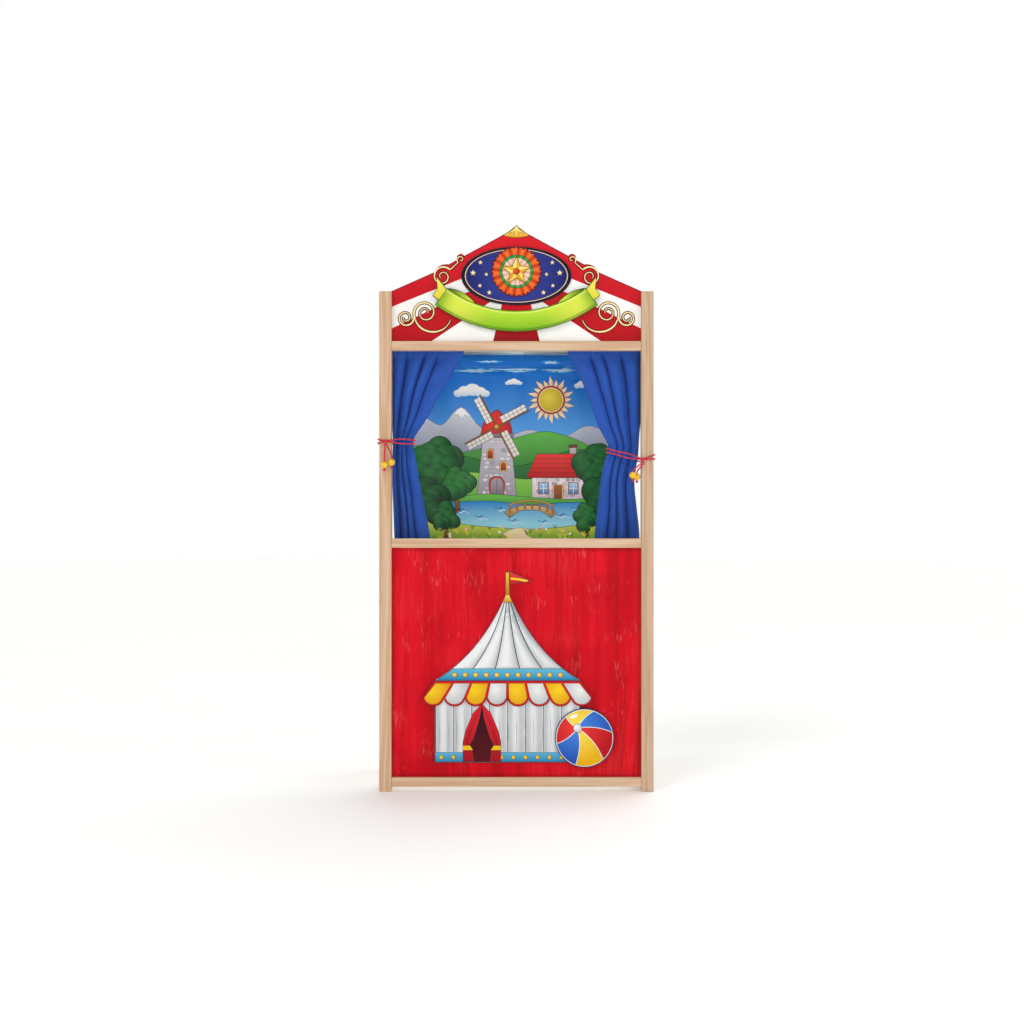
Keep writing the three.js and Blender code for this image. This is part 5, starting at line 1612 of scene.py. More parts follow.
def scroll_lines(kind, side):
    """The lines of one scroll in the print's millimetres: its spirals, then its stem."""
    fact = scroll_kinds[kind]
    x0, z0, size = fact["place"]
    lines = []
    for cx, cz, radius, start, turns in fact["spirals"]:
        steps = ceil(40 * abs(turns))
        spots = [(radius * (1 - 0.78 * i / steps), start + turns * i / steps) for i in range(steps + 1)]
        lines.append([around(cx, cz, reach, turn * FULL_TURN) for reach, turn in spots])
    lines.append(bezier(fact["stem"], 24))
    return [[(side * (x0 + x * size), z0 + z * size) for x, z in line] for line in lines]


def moulding(line, widths, back, height):
    """Points and faces of a half-round moulding along a line of the print."""
    arc, points, faces = 10, [], []
    ring, last = arc + 1, len(line) - 1
    for i, (x, z) in enumerate(line):
        (ax, az), (bx, bz) = line[max(i - 1, 0)], line[min(i + 1, last)]
        length = hypot(bx - ax, bz - az)
        nx, nz = -(bz - az) / length, (bx - ax) / length
        half = widths(i / last) / 2
        for k in range(ring):
            angle = pi * k / arc
            off, lift = half * cos(angle), height * min(half / 1.9, 1) * sin(angle)
            points.append(place(x + nx * off, back - lift, z + nz * off))
    for i in range(last):
        a, b = i * ring, (i + 1) * ring
        faces += [(a + k, b + k, b + k + 1, a + k + 1) for k in range(arc)]
        faces.append((a + arc, b + arc, b, a))
    faces.append(tuple(range(ring)))
    faces.append(tuple(range(last * ring, (last + 1) * ring))[::-1])
    return points, faces


print("a scroll's lines have", [len(line) for line in scroll_lines("scroll", 1)], "points")

# %% Gold leaf paint
gold, tree, shader = new_material(
    "gold scroll paint", Metallic=0.15, Coat_Weight=0.5, Coat_Roughness=0.15
)
# Painted highlight and shade: the gold is paler where the moulding faces forward and browner on its sides,
# mixed with worn patches.
front = times(tree, way_it_looks(tree)[1], -1.0)
wear = noise(tree, object_place(tree), 260.0, 3.0)
shade = times(tree, wear, 0.22, front)
golds = [(0.25, "#7c470c"), (0.6, "#c98f22"), (0.86, "#f3d270"), (1.0, "#fdf0bd")]
wire(tree, shader, ramp(tree, shade, golds), times(tree, wear, 0.25, 0.22), wear, 0.0002, 0.4)
print("gold in", len(golds), "tones")


# %% Scrolls and curls
def spiral_width(share):
    return 4.6 - 2.6 * share


def stem_width(share):
    return 2.2 + 2.6 * sin(pi * min(share + 0.12, 1)) ** 0.8


def thin_width(share):
    return 3.2 - 1.2 * share


line_widths = {
    "scroll": (spiral_width, spiral_width, stem_width),
    "curl": (spiral_width, thin_width, thin_width),
}
scroll_sink, scroll_height, line_width = 0.3, 2.6, 6.5
scroll_outlines = []
for side, word in ((-1, "left"), (1, "right")):
    for kind, widths in line_widths.items():
        points, faces = [], []
        for line, width in zip(scroll_lines(kind, side), widths):
            some, more = moulding(line, width, header_front - scroll_sink, scroll_height)
            faces += [tuple(len(points) + v for v in face) for face in more]
            points += some
            scroll_outlines.append(drawn(line, line_width, "#5a1a10", False))
        piece = mesh_piece(f"{kind}_{word}_moulding", points, faces, gold)
        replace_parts(piece, f"header_{kind}_{word}")
print("scroll lines printed under", len(scroll_outlines), "mouldings")

# %% Print the gable
gable_shapes = rim + stripes + finial_print + scroll_outlines
skin("gable_face", gable_shapes, 9.0, header_front)

# %% [markdown]
# ## Medallion, ribbon, rosette and star
# The gable's ornament is a night-blue medallion with small stars, a plain ribbon, and a show rosette
# with a gold star. All are flat cut-outs with a print, so each gets a skin that lies on its front and
# stops at its eased edge. The medallion is also cut afresh, with a finer curve and a rounder edge.

# %% Medallion
medal_low, medal_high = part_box("header_medallion")
medal_front, medal_back = (medal_low[1] - front_y) / MM, (medal_high[1] - front_y) / MM
medal_half = medal_high[0] / MM, (medal_high[2] - medal_low[2]) / 2 / MM
medal_z = base + 133
medal_rim = ellipse(0, medal_z, *medal_half, 120)
medal_edge = painted_edge("edge medallion", "#120f22")
board = cut_out("medallion_board", medal_rim, medal_front, medal_back, 1.6, medal_edge)
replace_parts(board, "header_medallion")
medal = []
for half_x, half_z, fill in (
    (medal_half[0] - 1.7, medal_half[1] - 1.7, ink("#15111f")),
    (104.5, 54.5, ink("#e9c7b4")),
    (102.6, 52.9, ink("#20152f")),
    (101.4, 51.9, glow("#3c49a8", "#1b2468", 0, medal_z, 100)),
):
    medal.append((ellipse(0, medal_z, half_x, half_z, 96), fill))
small_stars = [(88, 6, 6.2), (74, -20, 4.4), (73, 27, 4.8), (61, 3, 4.2), (55, -34, 5.2)]
for side in (-1, 1):
    for x, up, size in small_stars:
        z = medal_z + up
        corners = star_points(side * x, z, size, size * 0.45)
        medal += lined(corners, fade("#f2cf7c", "#fff6cf", z - 5, z + 5), 0.7, "#3b2a44")
skin("medallion_face", medal, 8.0, medal_front)
print("medallion", [round(2 * half, 1) for half in medal_half], "mm")

# %% Ribbon
band_front = front_of("header_ribbon")
bend, band_half, band_reach = 259, 21, 153
centre_z = base + 40.5 + bend
end_turn = asin(band_reach / bend)


def on_band(angle, across):
    """A point of the ribbon: an angle from its middle, and a distance out from its centre line."""
    return ((bend - across) * sin(angle), centre_z - (bend - across) * cos(angle))


def band_strip(share, low, high, steps=40):
    """An outline along the ribbon, over a share of its length and between two distances."""
    edge = end_turn * share
    turns = [-edge + 2 * edge * i / steps for i in range(steps + 1)]
    return [on_band(a, low) for a in turns] + [on_band(a, high) for a in turns[::-1]]


def along_band(x, z):
    """The angle of a place from the ribbon's middle, as a share of the ribbon's half length."""
    return abs(atan2(x, centre_z - z)) / end_turn


def green(x, z):
    """Lime green, yellower at the ends and towards the upper edge, darker below."""
    across = (bend - hypot(x, z - centre_z)) / band_half
    angle = along_band(x, z)
    colour = blend_of(srgb("#79b81c"), srgb("#c0e63a"), 0.5 + 0.5 * across)
    colour = blend_of(colour, srgb("#f4f25c"), hump(angle, 0.76, 0.3) * 0.62)
    colour = blend_of(colour, srgb("#5a9a14"), hump(angle, 1.0, 0.1) * 0.6)
    return blend_of(colour, srgb("#44850f"), max(0.0, -across - 0.62) * 1.6)


def tail_piece(side, inset):
    """The notched end of the ribbon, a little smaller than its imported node."""
    out, up = (cos(end_turn), sin(end_turn)), (-sin(end_turn), cos(end_turn))
    end, end_z = bend * sin(end_turn), centre_z - bend * cos(end_turn)
    root = band_half - 3.7
    flat = [(-14, root), (-14, -root / 2), (15, -root / 2), (16, root / 2), (30, 27), (0, root + 1.85)]
    spots = [(side * (end + a * out[0] + b * up[0]), end_z + a * out[1] + b * up[1]) for a, b in flat]
    return grown(spots, -inset)


whole_band = band_strip(1, -band_half, band_half)
ribbon = [
    (grown(whole_band, -0.5), ink("#2f4f0c")),
    (grown(whole_band, -1.6), green),
    (band_strip(0.985, 15.6, 17.0), ink("#e6f58a")),
    (band_strip(0.985, -17.0, -15.6), ink("#4a8a17")),
]
skin("ribbon_face", ribbon, 5.0, band_front)
for side, word in ((-1, "left"), (1, "right")):
    yellow = fade("#dccb24", "#fdf36a", centre_z - 225, centre_z - 165)
    tail = [(tail_piece(side, 0.5), ink("#6b5a08")), (tail_piece(side, 1.6), yellow)]
    skin(f"ribbon_tail_{word}_face", tail, 5.0, band_front, 0.1)
print("ribbon", round(2 * end_turn * bend), "mm long")

# %% The ribbon's inner folds
fold_back, fold_front = header_front - 4.25, header_front - 6.4


def inner_green(x, z):
    """Dark where the ribbon turns back at its ends, lime where it comes out of the fold."""
    return blend_of(srgb("#c9e43c"), srgb("#1d4d0e"), (along_band(x, z) - 0.68) * 3.4)


fold_edge = painted_edge("edge ribbon fold", "#2c5a12")
for side, word in ((-1, "left"), (1, "right")):
    upper, lower = [], []
    for i in range(25):
        angle = side * end_turn * (1.0 - 0.47 * i / 24)
        swell = 9.5 * sin(pi * min(i / 24 * 1.08, 1)) ** 0.8
        upper.append(on_band(angle, band_half + swell + 0.5))
        lower.append(on_band(angle, band_half - 3.5))
    outline = upper + lower[::-1]
    cut_out(f"ribbon_fold_{word}", outline, fold_front, fold_back, 0.5, fold_edge)
    fold_print = [(grown(outline, -0.55), ink("#17300a")), (grown(outline, -1.3), inner_green)]
    skin(f"ribbon_fold_{word}_face", fold_print, 4.0, fold_front, 0.1)

# %% Rosette
rosette_z, pleats = base + 141, 16


def pleat_edge(radius, swell, waves, turns):
    """An edge that swells out twice in each of its waves."""
    return [around(0, rosette_z, radius + swell * abs(cos(waves * t)), t) for t in turns]


def pleat_ring(inner, outer, swell, light, dark, steps=6):
    """A ring of pleats, each light on one side and dark on the other."""
    shapes = []
    a, b = srgb(light), srgb(dark)
    for k in range(2 * pleats):
        low, high = pi * (k - 0.5) / pleats, pi * (k + 0.5) / pleats
        turns = [low + (high - low) * i / steps for i in range(steps + 1)]
        heart = [around(0, rosette_z, inner, t) for t in turns[::-1]]

        def colour(x, z, k=k, low=low, high=high):
            t = atan2(z - rosette_z, x) % FULL_TURN
            if high > FULL_TURN - 0.01 and t < pi / 2:
                t += FULL_TURN
            if low < 0 and t > pi:
                t -= FULL_TURN
            share = (t - low) / (high - low)
            share = 1 - share if k % 2 else share
            out = (hypot(x, z - rosette_z) - inner) / (outer - inner)
            return blend_of(blend_of(b, a, share), b, max(0, 0.5 - out * 1.4))

        shapes.append((pleat_edge(outer, swell, pleats, turns) + heart, colour))
    return shapes


whole_turn = [FULL_TURN * i / 96 for i in range(96)]
rosette = [(grown(pleat_edge(47, 4.5, pleats / 2, whole_turn), -0.6), ink("#5e120b"))]
rosette += pleat_ring(30, 45.2, 4.3, "#ff7a2e", "#c02a10")
rosette.append((ellipse(0, rosette_z, 34.4, steps=64), ink("#1c4a1a")))
rosette += pleat_ring(20, 33.2, 0.0, "#4cba4e", "#1f7a35")
rosette.append((ellipse(0, rosette_z, 28.8, steps=64), ink("#7c4a3a")))
rosette += pleat_ring(8, 27.8, 0.0, "#fbe6d2", "#e6a08c")
skin("rosette_face", rosette, 6.0, front_of("header_rosette"))

# %% Star
star = [(grown(star_points(0, rosette_z, 31, 14), -0.3), ink("#6e3d08"))]
corners = star_points(0, rosette_z, 28.2, 12.6)
for i in range(10):
    low, high = ("#d8930f", "#f3bf2c") if i % 2 else ("#f6cf42", "#fff29a")
    facet = [(0, rosette_z), corners[i], corners[(i + 1) % 10]]
    star.append((facet, fade(low, high, rosette_z - 25, rosette_z + 25)))
button = ellipse(0, rosette_z, 6.0, steps=32)
star += lined(button, glow("#ff6a3a", "#b21a14", -2, rosette_z + 2, 8), 0.9, "#6e3d08")
skin("star_face", star, 5.0, front_of("header_star"))

# %% [markdown]
# ## The emblem on the panel
# A show tent and a ball are cut from plywood and glued on the panel: grey-white canvas, a blue band
# with yellow dots, a yellow and white valance with a red edge. The print follows the cut-outs' own
# outlines, so it sits on real plywood with real edges.

# %% Tent outlines
tent_x, foot_z, eave_z, roof_z, mast_foot, mast_top = -18, 59, 191, 225, 397, 445
tent_half, eave_half, mast_half = 148, 172, 4
roof_side = bezier([(tent_half, roof_z), (tent_half / 2 - 17, roof_z + 52), (mast_half, mast_foot)], 20)


def roof_seam(share):
    """A seam of the roof that keeps one share of the half width from eaves to mast."""
    return [(tent_x + share * x, z) for x, z in roof_side]


pennant_tip = (48, mast_top - 19.5)
pennant = bezier([(mast_half, mast_top - 26), (24, mast_top - 19.5), pennant_tip], 8)
pennant += bezier([pennant_tip, (24, mast_top - 6.5), (mast_half, mast_top)], 8)[1:]
pennant = shifted(pennant, tent_x)
tent = [(tent_x - tent_half, foot_z), (tent_x + tent_half, foot_z)]
tent += [(tent_x + tent_half, eave_z), (tent_x + eave_half, eave_z)] + roof_seam(1) + pennant
tent += [(tent_x - mast_half, mast_top)] + roof_seam(-1)[::-1]
tent += [(tent_x - eave_half, eave_z), (tent_x - tent_half, eave_z)]
print("tent outline has", len(tent), "corners")

# %% Canvas roof
line_code = "#2e3236"
tent_print = [(grown(tent, -0.5), ink(line_code))]


def canvas(low_share, high_share):
    """Canvas between two seams, lit in the middle of the panel and grey beside the seams."""
    light, dark = srgb("#f1f2f3"), srgb("#a9afb3")

    def colour(x, z):
        t = min(max((z - roof_z) / (mast_foot - roof_z), 0), 1)
        half = tent_half * (1 - t) ** 1.7 + 4
        share = ((x - tent_x) / half - low_share) / (high_share - low_share)
        lit = 1 - abs(2 * min(max(share, 0), 1) - 0.8) ** 1.4
        side = 0.16 * (low_share + high_share)
        return blend_of(dark, light, 0.25 + 0.85 * lit - side)

    return colour


def dot(x, z, radius, steps, reach):
    """A round yellow dot."""
    fill = glow("#fff27a", "#e8b013", x - 1, z + 1.5, reach)
    return lined(ellipse(x, z, radius, steps=steps), fill, 0.8, line_code)


seam_shares = [-1, -0.62, -0.22, 0.22, 0.62, 1]
for low, high in zip(seam_shares, seam_shares[1:]):
    panel = roof_seam(low)[:-1] + roof_seam(high)[:-1][::-1]
    tent_print.append((grown(panel, -0.9), canvas(low, high)))
left, right = ([(x - side * 2.0, z) for x, z in roof_seam(side) if z < roof_z + 26] for side in (-1, 1))
tent_print += lined(left + right[::-1], fade("#2f86b8", "#63bfe0", roof_z, roof_z + 24), 0.9, line_code)
for i in range(11):
    tent_print += dot(tent_x + 118 * ((i + 0.5) / 11 * 2 - 1), roof_z + 11.5, 4.6, 18, 6)
print("canvas roof:", len(tent_print), "shapes")

# %% Canvas wall
wall_low = foot_z + 1.6
wall_left, panel_width = tent_x - tent_half + 2, (2 * tent_half - 4) / 8


def wall_colour(start):
    """Canvas that hangs in soft folds, for the panel that starts at a place."""
    light, dark = srgb("#eef0f1"), srgb("#a4abb0")

    def colour(x, z):
        fold = 0.5 + 0.5 * sin((x - start) / panel_width * FULL_TURN * 1.5 + 0.6)
        return blend_of(light, dark, 0.15 + 0.6 * fold - 0.12 * (z - foot_z) / 132)

    return colour


for i in range(8):
    x0 = wall_left + panel_width * i
    shape = rectangle(x0 + 0.6, wall_low, x0 + panel_width - 0.6, eave_z)
    tent_print.append((shape, wall_colour(x0)))
for i in range(17):
    x = tent_x - tent_half + 9 + (2 * tent_half - 18) * i / 16
    tent_print.append(drawn([(x, wall_low + 20), (x + 1.5, 120), (x - 1, 168)], 0.9, "#70777c"))
foot_band = rectangle(tent_x - tent_half + 1.8, wall_low, tent_x + tent_half - 1.8, foot_z + 20)
tent_print += lined(foot_band, fade("#2b7fb3", "#5ab8dc", foot_z, foot_z + 20), 0.8, line_code)
for i in range(12):
    tent_print += dot(tent_x - tent_half + 14 + (2 * tent_half - 28) * i / 11, foot_z + 10.5, 4.0, 16, 5)
print("with the wall:", len(tent_print), "shapes")

# %% Tent door
door_x, door_low = -70, foot_z + 2.4


def by_door(side, *spots):
    """Places measured outwards from the middle of the door."""
    return [(door_x + side * x, z) for x, z in spots]


door = by_door(1, (-38, door_low), (38, door_low), (33, 120), (18, 158), (0, 178), (-18, 158), (-33, 120))
tent_print += lined(door, fade("#5b0a16", "#220914", foot_z, 175), 1.1, line_code)
for side in (-1, 1):
    flap = by_door(side, (38, door_low), (38, 100), (33, 122), (18, 158), (0, 178), (5, 148), (17, 108))
    flap += by_door(side, (27, 92), (20, 84), (16, door_low))
    tent_print += lined(flap, fade("#a80f1c", "#e2202e", foot_z, 170), 1.0, line_code)
    for k in (0.32, 0.64):
        fold = by_door(side, (16 + 22 * k, foot_z + 4), (20 + 16 * k, 84), (27 + 8 * k, 96))
        fold += by_door(side, (12 + 14 * k, 136), (3, 170))
        tent_print.append(drawn(curved(fold, 5, False), 1.3, "#7c0a15"))
    tie_band = by_door(side, (18, 84), (39, 84), (38, 93), (24, 93))
    tent_print += lined(tie_band, ink("#f6c21c"), 0.7, line_code)
print("with the door:", len(tent_print), "shapes")

# %% Mast and pennant
collar = shifted([(-9, -13), (9, -13), (4, 3), (-4, 3)], tent_x, mast_foot)
tent_print += lined(collar, fade("#d28c12", "#ffe066", mast_foot - 13, mast_foot + 3), 1.0, line_code)
mast = rectangle(tent_x - 3.2, mast_foot + 1, tent_x + 3.2, mast_top - 1)
tent_print.append((mast, fade("#b07418", "#f0c33a", mast_foot, mast_top)))
tent_print.append((grown(pennant, -1.2), fade("#c01220", "#ef3a3a", mast_top - 26, mast_top)))
stripe = shifted([(6, -13), (24, -15), (41, -18.6)], tent_x, mast_top)
tent_print.append(drawn(stripe, 4.2, "#fbd22e", False))
skin("tent_face", tent_print, 7.0, front_of("emblem_tent"))

# %% Valance print
scallop_count, scallop_drop = 8, 18
bulge = eave_half / scallop_count
narrower = tent_half / eave_half
middles = [tent_x - eave_half + (2 * i + 1) * bulge for i in range(scallop_count)]


def scallop(x, inset):
    """The hanging edge of one scallop, from left to right."""
    wide, tall = bulge - inset, scallop_drop - inset
    return [(x - wide * cos(pi * k / 14), eave_z - tall * sin(pi * k / 14)) for k in range(1, 14)]


valance = [(tent_x - tent_half, roof_z), (tent_x - eave_half, eave_z)]
for x in middles:
    valance += scallop(x, 0) + [(x + bulge, eave_z)]
valance.append((tent_x + tent_half, roof_z))
valance_print = [(grown(valance, -0.5), ink("#4b0c10")), (grown(valance, -1.4), ink("#d31a20"))]
for i, x in enumerate(middles):
    top, half_top = tent_x + (x - tent_x) * narrower, bulge * narrower
    lobe = [(top - half_top + 2.6, roof_z - 5.5), (x - bulge + 3.2, eave_z - 1)] + scallop(x, 4.4)
    lobe += [(x + bulge - 3.2, eave_z - 1), (top + half_top - 2.6, roof_z - 5.5)]
    light, dark = ("#f1f1ee", "#b9bdbf") if i % 2 else ("#f9d423", "#e39a12")
    valance_print += lined(lobe, glow(light, dark, x - 4, eave_z + 16, 34), 0.7, "#4b0c10")
skin("valance_face", valance_print, 6.0, front_of("emblem_valance"))

# %% Ball print
ball_x, ball_z, ball_r = 138, 109, 60
button_x, button_z = ball_x - 14, ball_z + 20
white_rim = glow("#f7f7f5", "#c9cdd2", ball_x - 15, ball_z + 18, 90)
ball = [
    (ellipse(ball_x, ball_z, ball_r - 0.4, steps=80), ink("#191b2a")),
    (ellipse(ball_x, ball_z, ball_r - 1.8, steps=80), white_rim),
]


def on_rim(angle):
    return around(ball_x, ball_z, ball_r - 2.6, angle)


def bowed(angle, bow=0.16):
    """A bowed seam from the button to the rim."""
    x, z = on_rim(angle)
    middle_x, middle_z = (button_x + x) / 2, (button_z + z) / 2
    pull = (middle_x - (z - button_z) * bow, middle_z + (x - button_x) * bow)
    return bezier([(button_x, button_z), pull, (x, z)], 10)


wedges = 6
paints = [("#1c4fb0", "#4b8be6"), ("#e8b30f", "#ffe75a"), ("#b80f1c", "#ee3b36")]
for k in range(wedges):
    start, end = (FULL_TURN * j / wedges + 0.2 for j in (k, k + 1))
    rim = [on_rim(start + (end - start) * i / 10) for i in range(1, 10)]
    outline = bowed(start) + rim + bowed(end)[::-1][:-1]
    dark, light = paints[k % 3]
    ball.append((grown(outline, -0.8), glow(light, dark, ball_x - 16, ball_z + 22, 72)))
button = ellipse(button_x, button_z, 8.5, steps=28)
ball += lined(button, glow("#ffffff", "#c4c9cf", button_x - 2, button_z + 3, 10), 0.9, "#191b2a")
ball.append((ellipse(ball_x - 22, ball_z + 44, 8.5, 3.6, 24, 0.42), ink("#fffdf0")))
skin("ball_face", ball, 6.0, front_of("emblem_ball"))

# %% [markdown]
# ## Steel
# The connector bolts, bracket screws and hinges are zinc-plated steel, with the faint cloudy spangle
# that plating has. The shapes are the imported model's own.

# %% Zinc
zinc, tree, shader = new_material("zinc plate", Metallic=1.0, Specular_IOR_Level=0.5)
spangle = add(tree, "TexVoronoi", Vector=object_place(tree), Scale=520.0)
fine = noise(tree, stretched(tree, object_place(tree), 1, 1, 0.08), 1400.0, 3.0)
mottle = times(tree, fine, 0.5, times(tree, spangle, 0.5))
tint = ramp(tree, mottle, [(0.2, "#9fa4a8"), (0.8, "#d5d8da")])
wire(tree, shader, tint, times(tree, mottle, 0.25, 0.22), fine, 0.00005, 0.4)
steel_names = [n for n in nodes if "bolt" in n or "screw" in n or "hinge" in n]
dress(zinc, *steel_names)
print("zinc on", len(steel_names), "pieces")

# %% [markdown]
# ## Hinge screws and stitches
# Both are one small thing repeated along a line, which is what Geometry Nodes are for. A tree takes a
# mesh of bare points. Each point carries two attributes: the way it looks, away from the surface, and
# the way that the line runs. The tree puts one copy on each point and makes the copies a plain mesh.


# %% Geometry node helpers
def geo(tree, kind, settings=None, **sockets):
    """Adds a geometry node and returns its first output."""
    return add(tree, "GeometryNode" + kind, settings, **sockets)


def axes(tree, x=0.0, y=0.0, z=0.0):
    """A vector from its three numbers."""
    return add(tree, "CombineXYZ", _0=x, _1=y, _2=z)


def together(tree, *parts):
    join = tree.nodes.new("GeometryNodeJoinGeometry")
    for part in reversed(parts):
        tree.links.new(part, join.inputs[0])
    return join.outputs[0]


def copying_tree(name, inputs):
    """An empty tree that takes places and further inputs, and gives pieces."""
    return group_of(name, [("Places", "Geometry", None)] + inputs, [("Pieces", "Geometry")], "Geometry")


def one_on_each(tree, given, made, copy):
    """One copy on each point, its Z along the point's looks and its X along the line, then a mesh."""
    vector = {"data_type": "FLOAT_VECTOR"}
    looks = geo(tree, "InputNamedAttribute", vector, Name="looks")
    along = geo(tree, "InputNamedAttribute", vector, Name="along")
    align = "FunctionNodeAlignRotationToVector"
    upright = add(tree, align, {"axis": "Z"}, Vector=looks)
    turned = add(tree, align, {"axis": "X", "pivot_axis": "Z"}, Rotation=upright, Vector=along)
    copies = geo(tree, "InstanceOnPoints", Points=given["Places"], Instance=copy, Rotation=turned)
    tree.links.new(geo(tree, "RealizeInstances", Geometry=copies), made["Pieces"])


def grow(name, tree, spots, body, slot, **values):
    """Runs a tree on places of (point, looks, along) and keeps the result as one plain piece."""
    seats = bpy.data.meshes.new(name)
    seats.from_pydata([tuple(point) for point, _, _ in spots], [], [])
    for k, title in ((1, "looks"), (2, "along")):
        layer = seats.attributes.new(title, "FLOAT_VECTOR", "POINT")
        layer.data.foreach_set("vector", [c for spot in spots for c in spot[k]])
    piece = bpy.data.objects.new(name, seats)
    scene.collection.objects.link(piece)
    modifier = piece.modifiers.new("copies", "NODES")
    modifier.node_group = tree
    for item in tree.interface.items_tree:
        key = item.name.replace(" ", "_")
        if item.in_out == "INPUT" and key in values:
            modifier[item.identifier] = values[key]
    ready = piece.evaluated_get(bpy.context.evaluated_depsgraph_get())
    mesh = bpy.data.meshes.new_from_object(ready)
    piece.modifiers.remove(modifier)
    piece.data = mesh
    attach(piece, body)
    print(name, len(spots), "copies,", len(mesh.polygons), "faces")
    return piece


print("each point of a row carries its looks and its line")

# %% Screw slots
# Painted shade: the screws' slots and the gaps round their heads are flat dark-steel marks, since the heads
# have no real recess.
slot_shade_steel, tree, shader = new_material("screw slot", Metallic=0.8)
slot_shade_mottle = noise(tree, object_place(tree), 900.0)
tint = ramp(tree, slot_shade_mottle, [(0.3, "#2a2b2d"), (0.7, "#4a4b4e")])
wire(tree, shader, tint, times(tree, slot_shade_mottle, 0.2, 0.5))
print("slots are dark steel")

# %% Screw tree
screw_tree, given, made = copying_tree(
    "Countersunk screws",
    [
        ("Head radius", "Float", 0.0026),
        ("Head height", "Float", 0.00027),
        ("Steel", "Material", None),
        ("Slot", "Material", None),
    ],
)
tree = screw_tree
radius, height = given["Head radius"], given["Head height"]


def disc(low, high, depth):
    """A low cone, from shares of the head's radius at its foot and its top."""
    low = radius if low == 1 else times(tree, radius, low)
    high = times(tree, radius, high)
    return geo(tree, "MeshCone", Vertices=22, Radius_Bottom=low, Radius_Top=high, Depth=depth)


head = disc(1, 0.8, height)
# A dark ring round the head: a painted shadow of the countersink gap.
countersink_shadow = disc(1.16, 1.12, times(tree, height, 0.3))
# A thin dark cross on the head: painted shade for the slot, which is not cut in.
bars = []
for wide, deep in ((1.1, 0.24), (0.24, 1.1)):
    size = axes(tree, times(tree, radius, wide), times(tree, radius, deep), 0.00006)
    bars.append(geo(tree, "MeshCube", Size=size))
cross = geo(tree, "Transform", Geometry=together(tree, *bars), Translation=axes(tree, z=height))
bright = geo(tree, "SetMaterial", Geometry=head, Material=given["Steel"])
dark = geo(tree, "SetMaterial", Geometry=together(tree, cross, countersink_shadow), Material=given["Slot"])
one_on_each(tree, given, made, together(tree, bright, dark))
print("screw tree:", len(screw_tree.nodes), "nodes")

# %% Hinge screws
hinge_foot, hinge_top = (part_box("left_hinge_post_leaf")[k][2] / MM for k in (0, 1))
hole_from_edge = 17 / 3
hole_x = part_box("right_hinge_post_leaf")[1][0] / MM - hole_from_edge
leaves = [("post", 1, 26.57, 0.4), ("wing", -1, 27.43, 0.0)]
for word, side in (("left", -1), ("right", 1)):
    for leaf, way, leaf_y, first_turn in leaves:
        spots = []
        for i in range(5):
            z = hinge_foot + (i + 0.5) * (hinge_top - hinge_foot) / 5
            turn = 0.7 * i + first_turn
            spots.append((place(side * hole_x, leaf_y, z), (0, way, 0), (cos(turn), 0, sin(turn))))
        body = "front_frame" if leaf == "post" else word + "_wing"
        grow(f"{word}_{leaf}_leaf_screws", screw_tree, spots, body, "zinc", Steel=zinc, Slot=slot_shade_steel)

# %% Stitch tree
stitch_tree, given, made = copying_tree(
    "Row of stitches",
    [
        ("Stitch length", "Float", 0.0024),
        ("Thread radius", "Float", 0.00032),
        ("Thread", "Material", None),
    ],
)
tree = stitch_tree
ball_shape = geo(tree, "MeshIcoSphere", Radius=1.0, Subdivisions=1)
thread_radius = given["Thread radius"]
shape = axes(tree, times(tree, given["Stitch length"], 0.5), thread_radius, thread_radius)
stitch = geo(tree, "Transform", Geometry=ball_shape, Scale=shape)
smooth = geo(tree, "SetShadeSmooth", Geometry=stitch)
one_on_each(tree, given, made, geo(tree, "SetMaterial", Geometry=smooth, Material=given["Thread"]))
print("stitch tree:", len(stitch_tree.nodes), "nodes")


# %% Threads
def thread_material(name, code):
    material, tree, shader = new_material(name, Sheen_Weight=0.3)
    twist = noise(tree, object_place(tree), 3000.0)
    dark, light = blend_of(srgb(code), (0, 0, 0), 0.3), blend_of(srgb(code), (1, 1, 1), 0.15)
    tint = ramp(tree, twist, [(0.3, dark), (0.7, light)])
    wire(tree, shader, tint, times(tree, twist, 0.2, 0.5), twist, 0.0001, 0.5)
    return material


blue_thread = thread_material("curtain thread", "#17397f")
pale_thread = thread_material("backdrop thread", "#cfe2ef")
print("threads:", blue_thread.name, "and", pale_thread.name)


# %% Seams
def seam_spots(surface, route, both_sides, lift, pitch=3.4):
    """Places along a line on a surface: surface(a, b) gives a point, and route is a list of (a, b)."""
    spots, left = [], 0.0
    for (a0, b0), (a1, b1) in zip(route, route[1:]):
        p, q = surface(a0, b0), surface(a1, b1)
        span = (q - p).length / MM
        while left < span:
            t = left / span
            a, b = a0 + (a1 - a0) * t, b0 + (b1 - b0) * t
            here = surface(a, b)
            across = surface(a + 0.004, b) - surface(a - 0.004, b)
            down = surface(a, b - 0.4) - surface(a, b + 0.4)
            looks = across.cross(down).normalized()
            looks = looks if looks.y < 0 else -looks
            along = (q - p).normalized()
            for way in (1, -1) if both_sides else (1,):
                spots.append((here + looks * way * lift * MM, tuple(looks * way), tuple(along)))
            left += pitch
        left -= span
    return spots


def level_seam(z, margin, steps):
    """A route across a cloth at one height, from a margin to the same margin on the other side."""
    return [(margin + (1 - 2 * margin) * i / steps, z) for i in range(steps + 1)]


hem_depth, backdrop_hem_depth = 10.5, 9
for word, fact in curtain_facts.items():
    surface = lambda u, z, fact=fact: curtain_place(fact, u, z)
    spots = seam_spots(surface, level_seam(hem_z + hem_depth, 0.02, 60), True, 0.55)
    spots += seam_spots(surface, [(0.045, 870 - 5 * i) for i in range(72)], True, 0.5)
    grow(f"curtain_{word}_stitches", stitch_tree, spots, "front_frame", "cord", Thread=blue_thread)

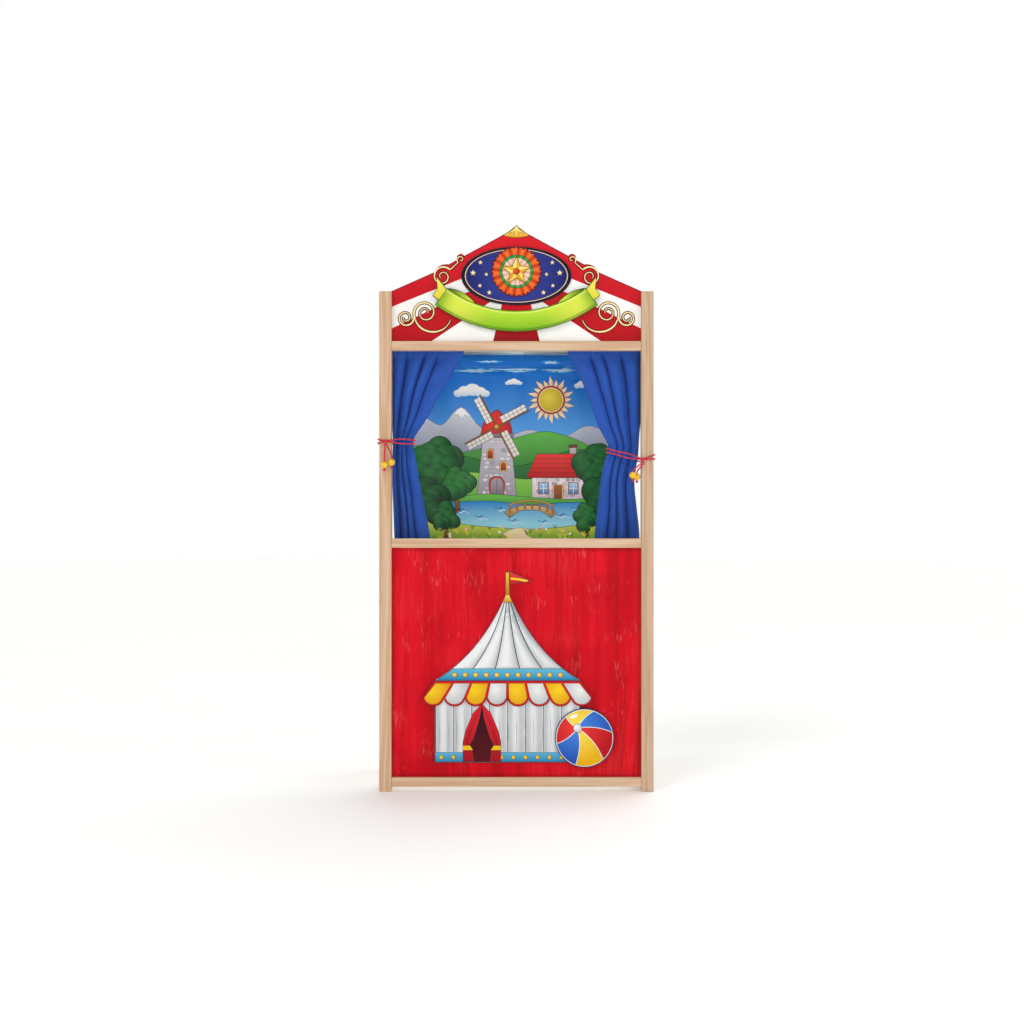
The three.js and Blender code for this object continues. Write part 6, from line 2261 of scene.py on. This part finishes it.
cloth_surface = lambda u, z: on_cloth(cloth_half * (2 * u - 1), z)
spots = []
for z in (seam_z, cloth_hem + backdrop_hem_depth):
    spots += seam_spots(cloth_surface, level_seam(z, 0.006, 90), False, 0.2)
for u in (0.012, 0.988):
    spots += seam_spots(cloth_surface, [(u, 862 - 8 * i) for i in range(46)], False, 0.2)
grow("backdrop_stitches", stitch_tree, spots, "backdrop", "cord", Thread=pale_thread)

# %% [markdown]
# ## Floor and light
# A plain pale floor and soft studio light. Wide, sun-like lamps light the floor evenly out to the
# horizon: one in front at the left, one low in front that reaches the backdrop, and one high behind.
# A soft panel opens the shadows at the right. The world is white to the camera but dimmer to the
# pieces, so inks stay deep.

# %% Floor
floor_radius = 14
floor_turns = [radians(a) for a in range(0, 360, 6)]
floor_points = [(floor_radius * cos(a), floor_radius * sin(a), 0) for a in floor_turns]
floor_mesh = bpy.data.meshes.new("floor")
floor_mesh.from_pydata(floor_points, [], [tuple(range(len(floor_points)))])
floor_material, tree, shader = new_material(
    "pale floor",
    Roughness=0.6,
    Specular_IOR_Level=0.2,
    Emission_Color=(1, 1, 1, 1),
    Emission_Strength=0.12,
)
cloud = noise(tree, object_place(tree), 2.0)
wire(tree, shader, ramp(tree, cloud, [(0.3, "#fafaf8"), (0.7, "#fcfcfb")]))
floor_mesh.materials.append(floor_material)
floor = bpy.data.objects.new("floor", floor_mesh)
scene.collection.objects.link(floor)
print("floor", 2 * floor_radius, "m across")

# %% World
world = bpy.data.worlds.new("studio")
world.use_nodes = True
tree = world.node_tree
seen = tree.nodes["Background"]
feed_all(tree, seen, {"Color": (1.0, 1.0, 1.0, 1), "Strength": 1.0})
lights_up = add(tree, "Background", Color=(0.97, 0.985, 1.0, 1), Strength=0.38)
to_camera = add(tree, "LightPath")
either = add(tree, "MixShader", _0=to_camera, _1=lights_up, _2=seen.outputs[0])
feed(tree, tree.nodes["World Output"].inputs[0], either)
scene.world = world
scene.view_settings.view_transform = "Standard"
print("view transform", scene.view_settings.view_transform)


# %% Lamps
def add_lamp(name, kind, where, aim, power, colour, **more):
    """A lamp at a place that points at another place."""
    lamp = bpy.data.lights.new(name, kind)
    lamp.energy, lamp.color = power, colour
    for key, value in more.items():
        setattr(lamp, key, value)
    thing = bpy.data.objects.new(name, lamp)
    thing.location = where
    thing.rotation_euler = (Vector(aim) - Vector(where)).to_track_quat("-Z", "Y").to_euler()
    scene.collection.objects.link(thing)
    print(name, power)


key_light, fill_light, back_light = (1.0, 0.985, 0.96), (1.0, 0.99, 0.98), (1.0, 0.99, 0.97)
low_aim, panel_shape = (0, 0, 0.4), {"shape": "RECTANGLE", "size": 1.4, "size_y": 2.0}
add_lamp("key lamp", "SUN", (-1.9, -2.8, 3.0), low_aim, 0.85, key_light, angle=radians(28))
add_lamp("front fill", "SUN", (0.5, -3.6, 0.75), low_aim, 0.5, fill_light, angle=radians(36))
add_lamp("back lamp", "SUN", (1.0, 1.6, 4.0), (0, 0, 0.0), 1.4, back_light, angle=radians(44))
add_lamp("side panel", "AREA", (2.4, -1.6, 1.6), (0, 0, 0.6), 12, (0.95, 0.98, 1.0), **panel_shape)
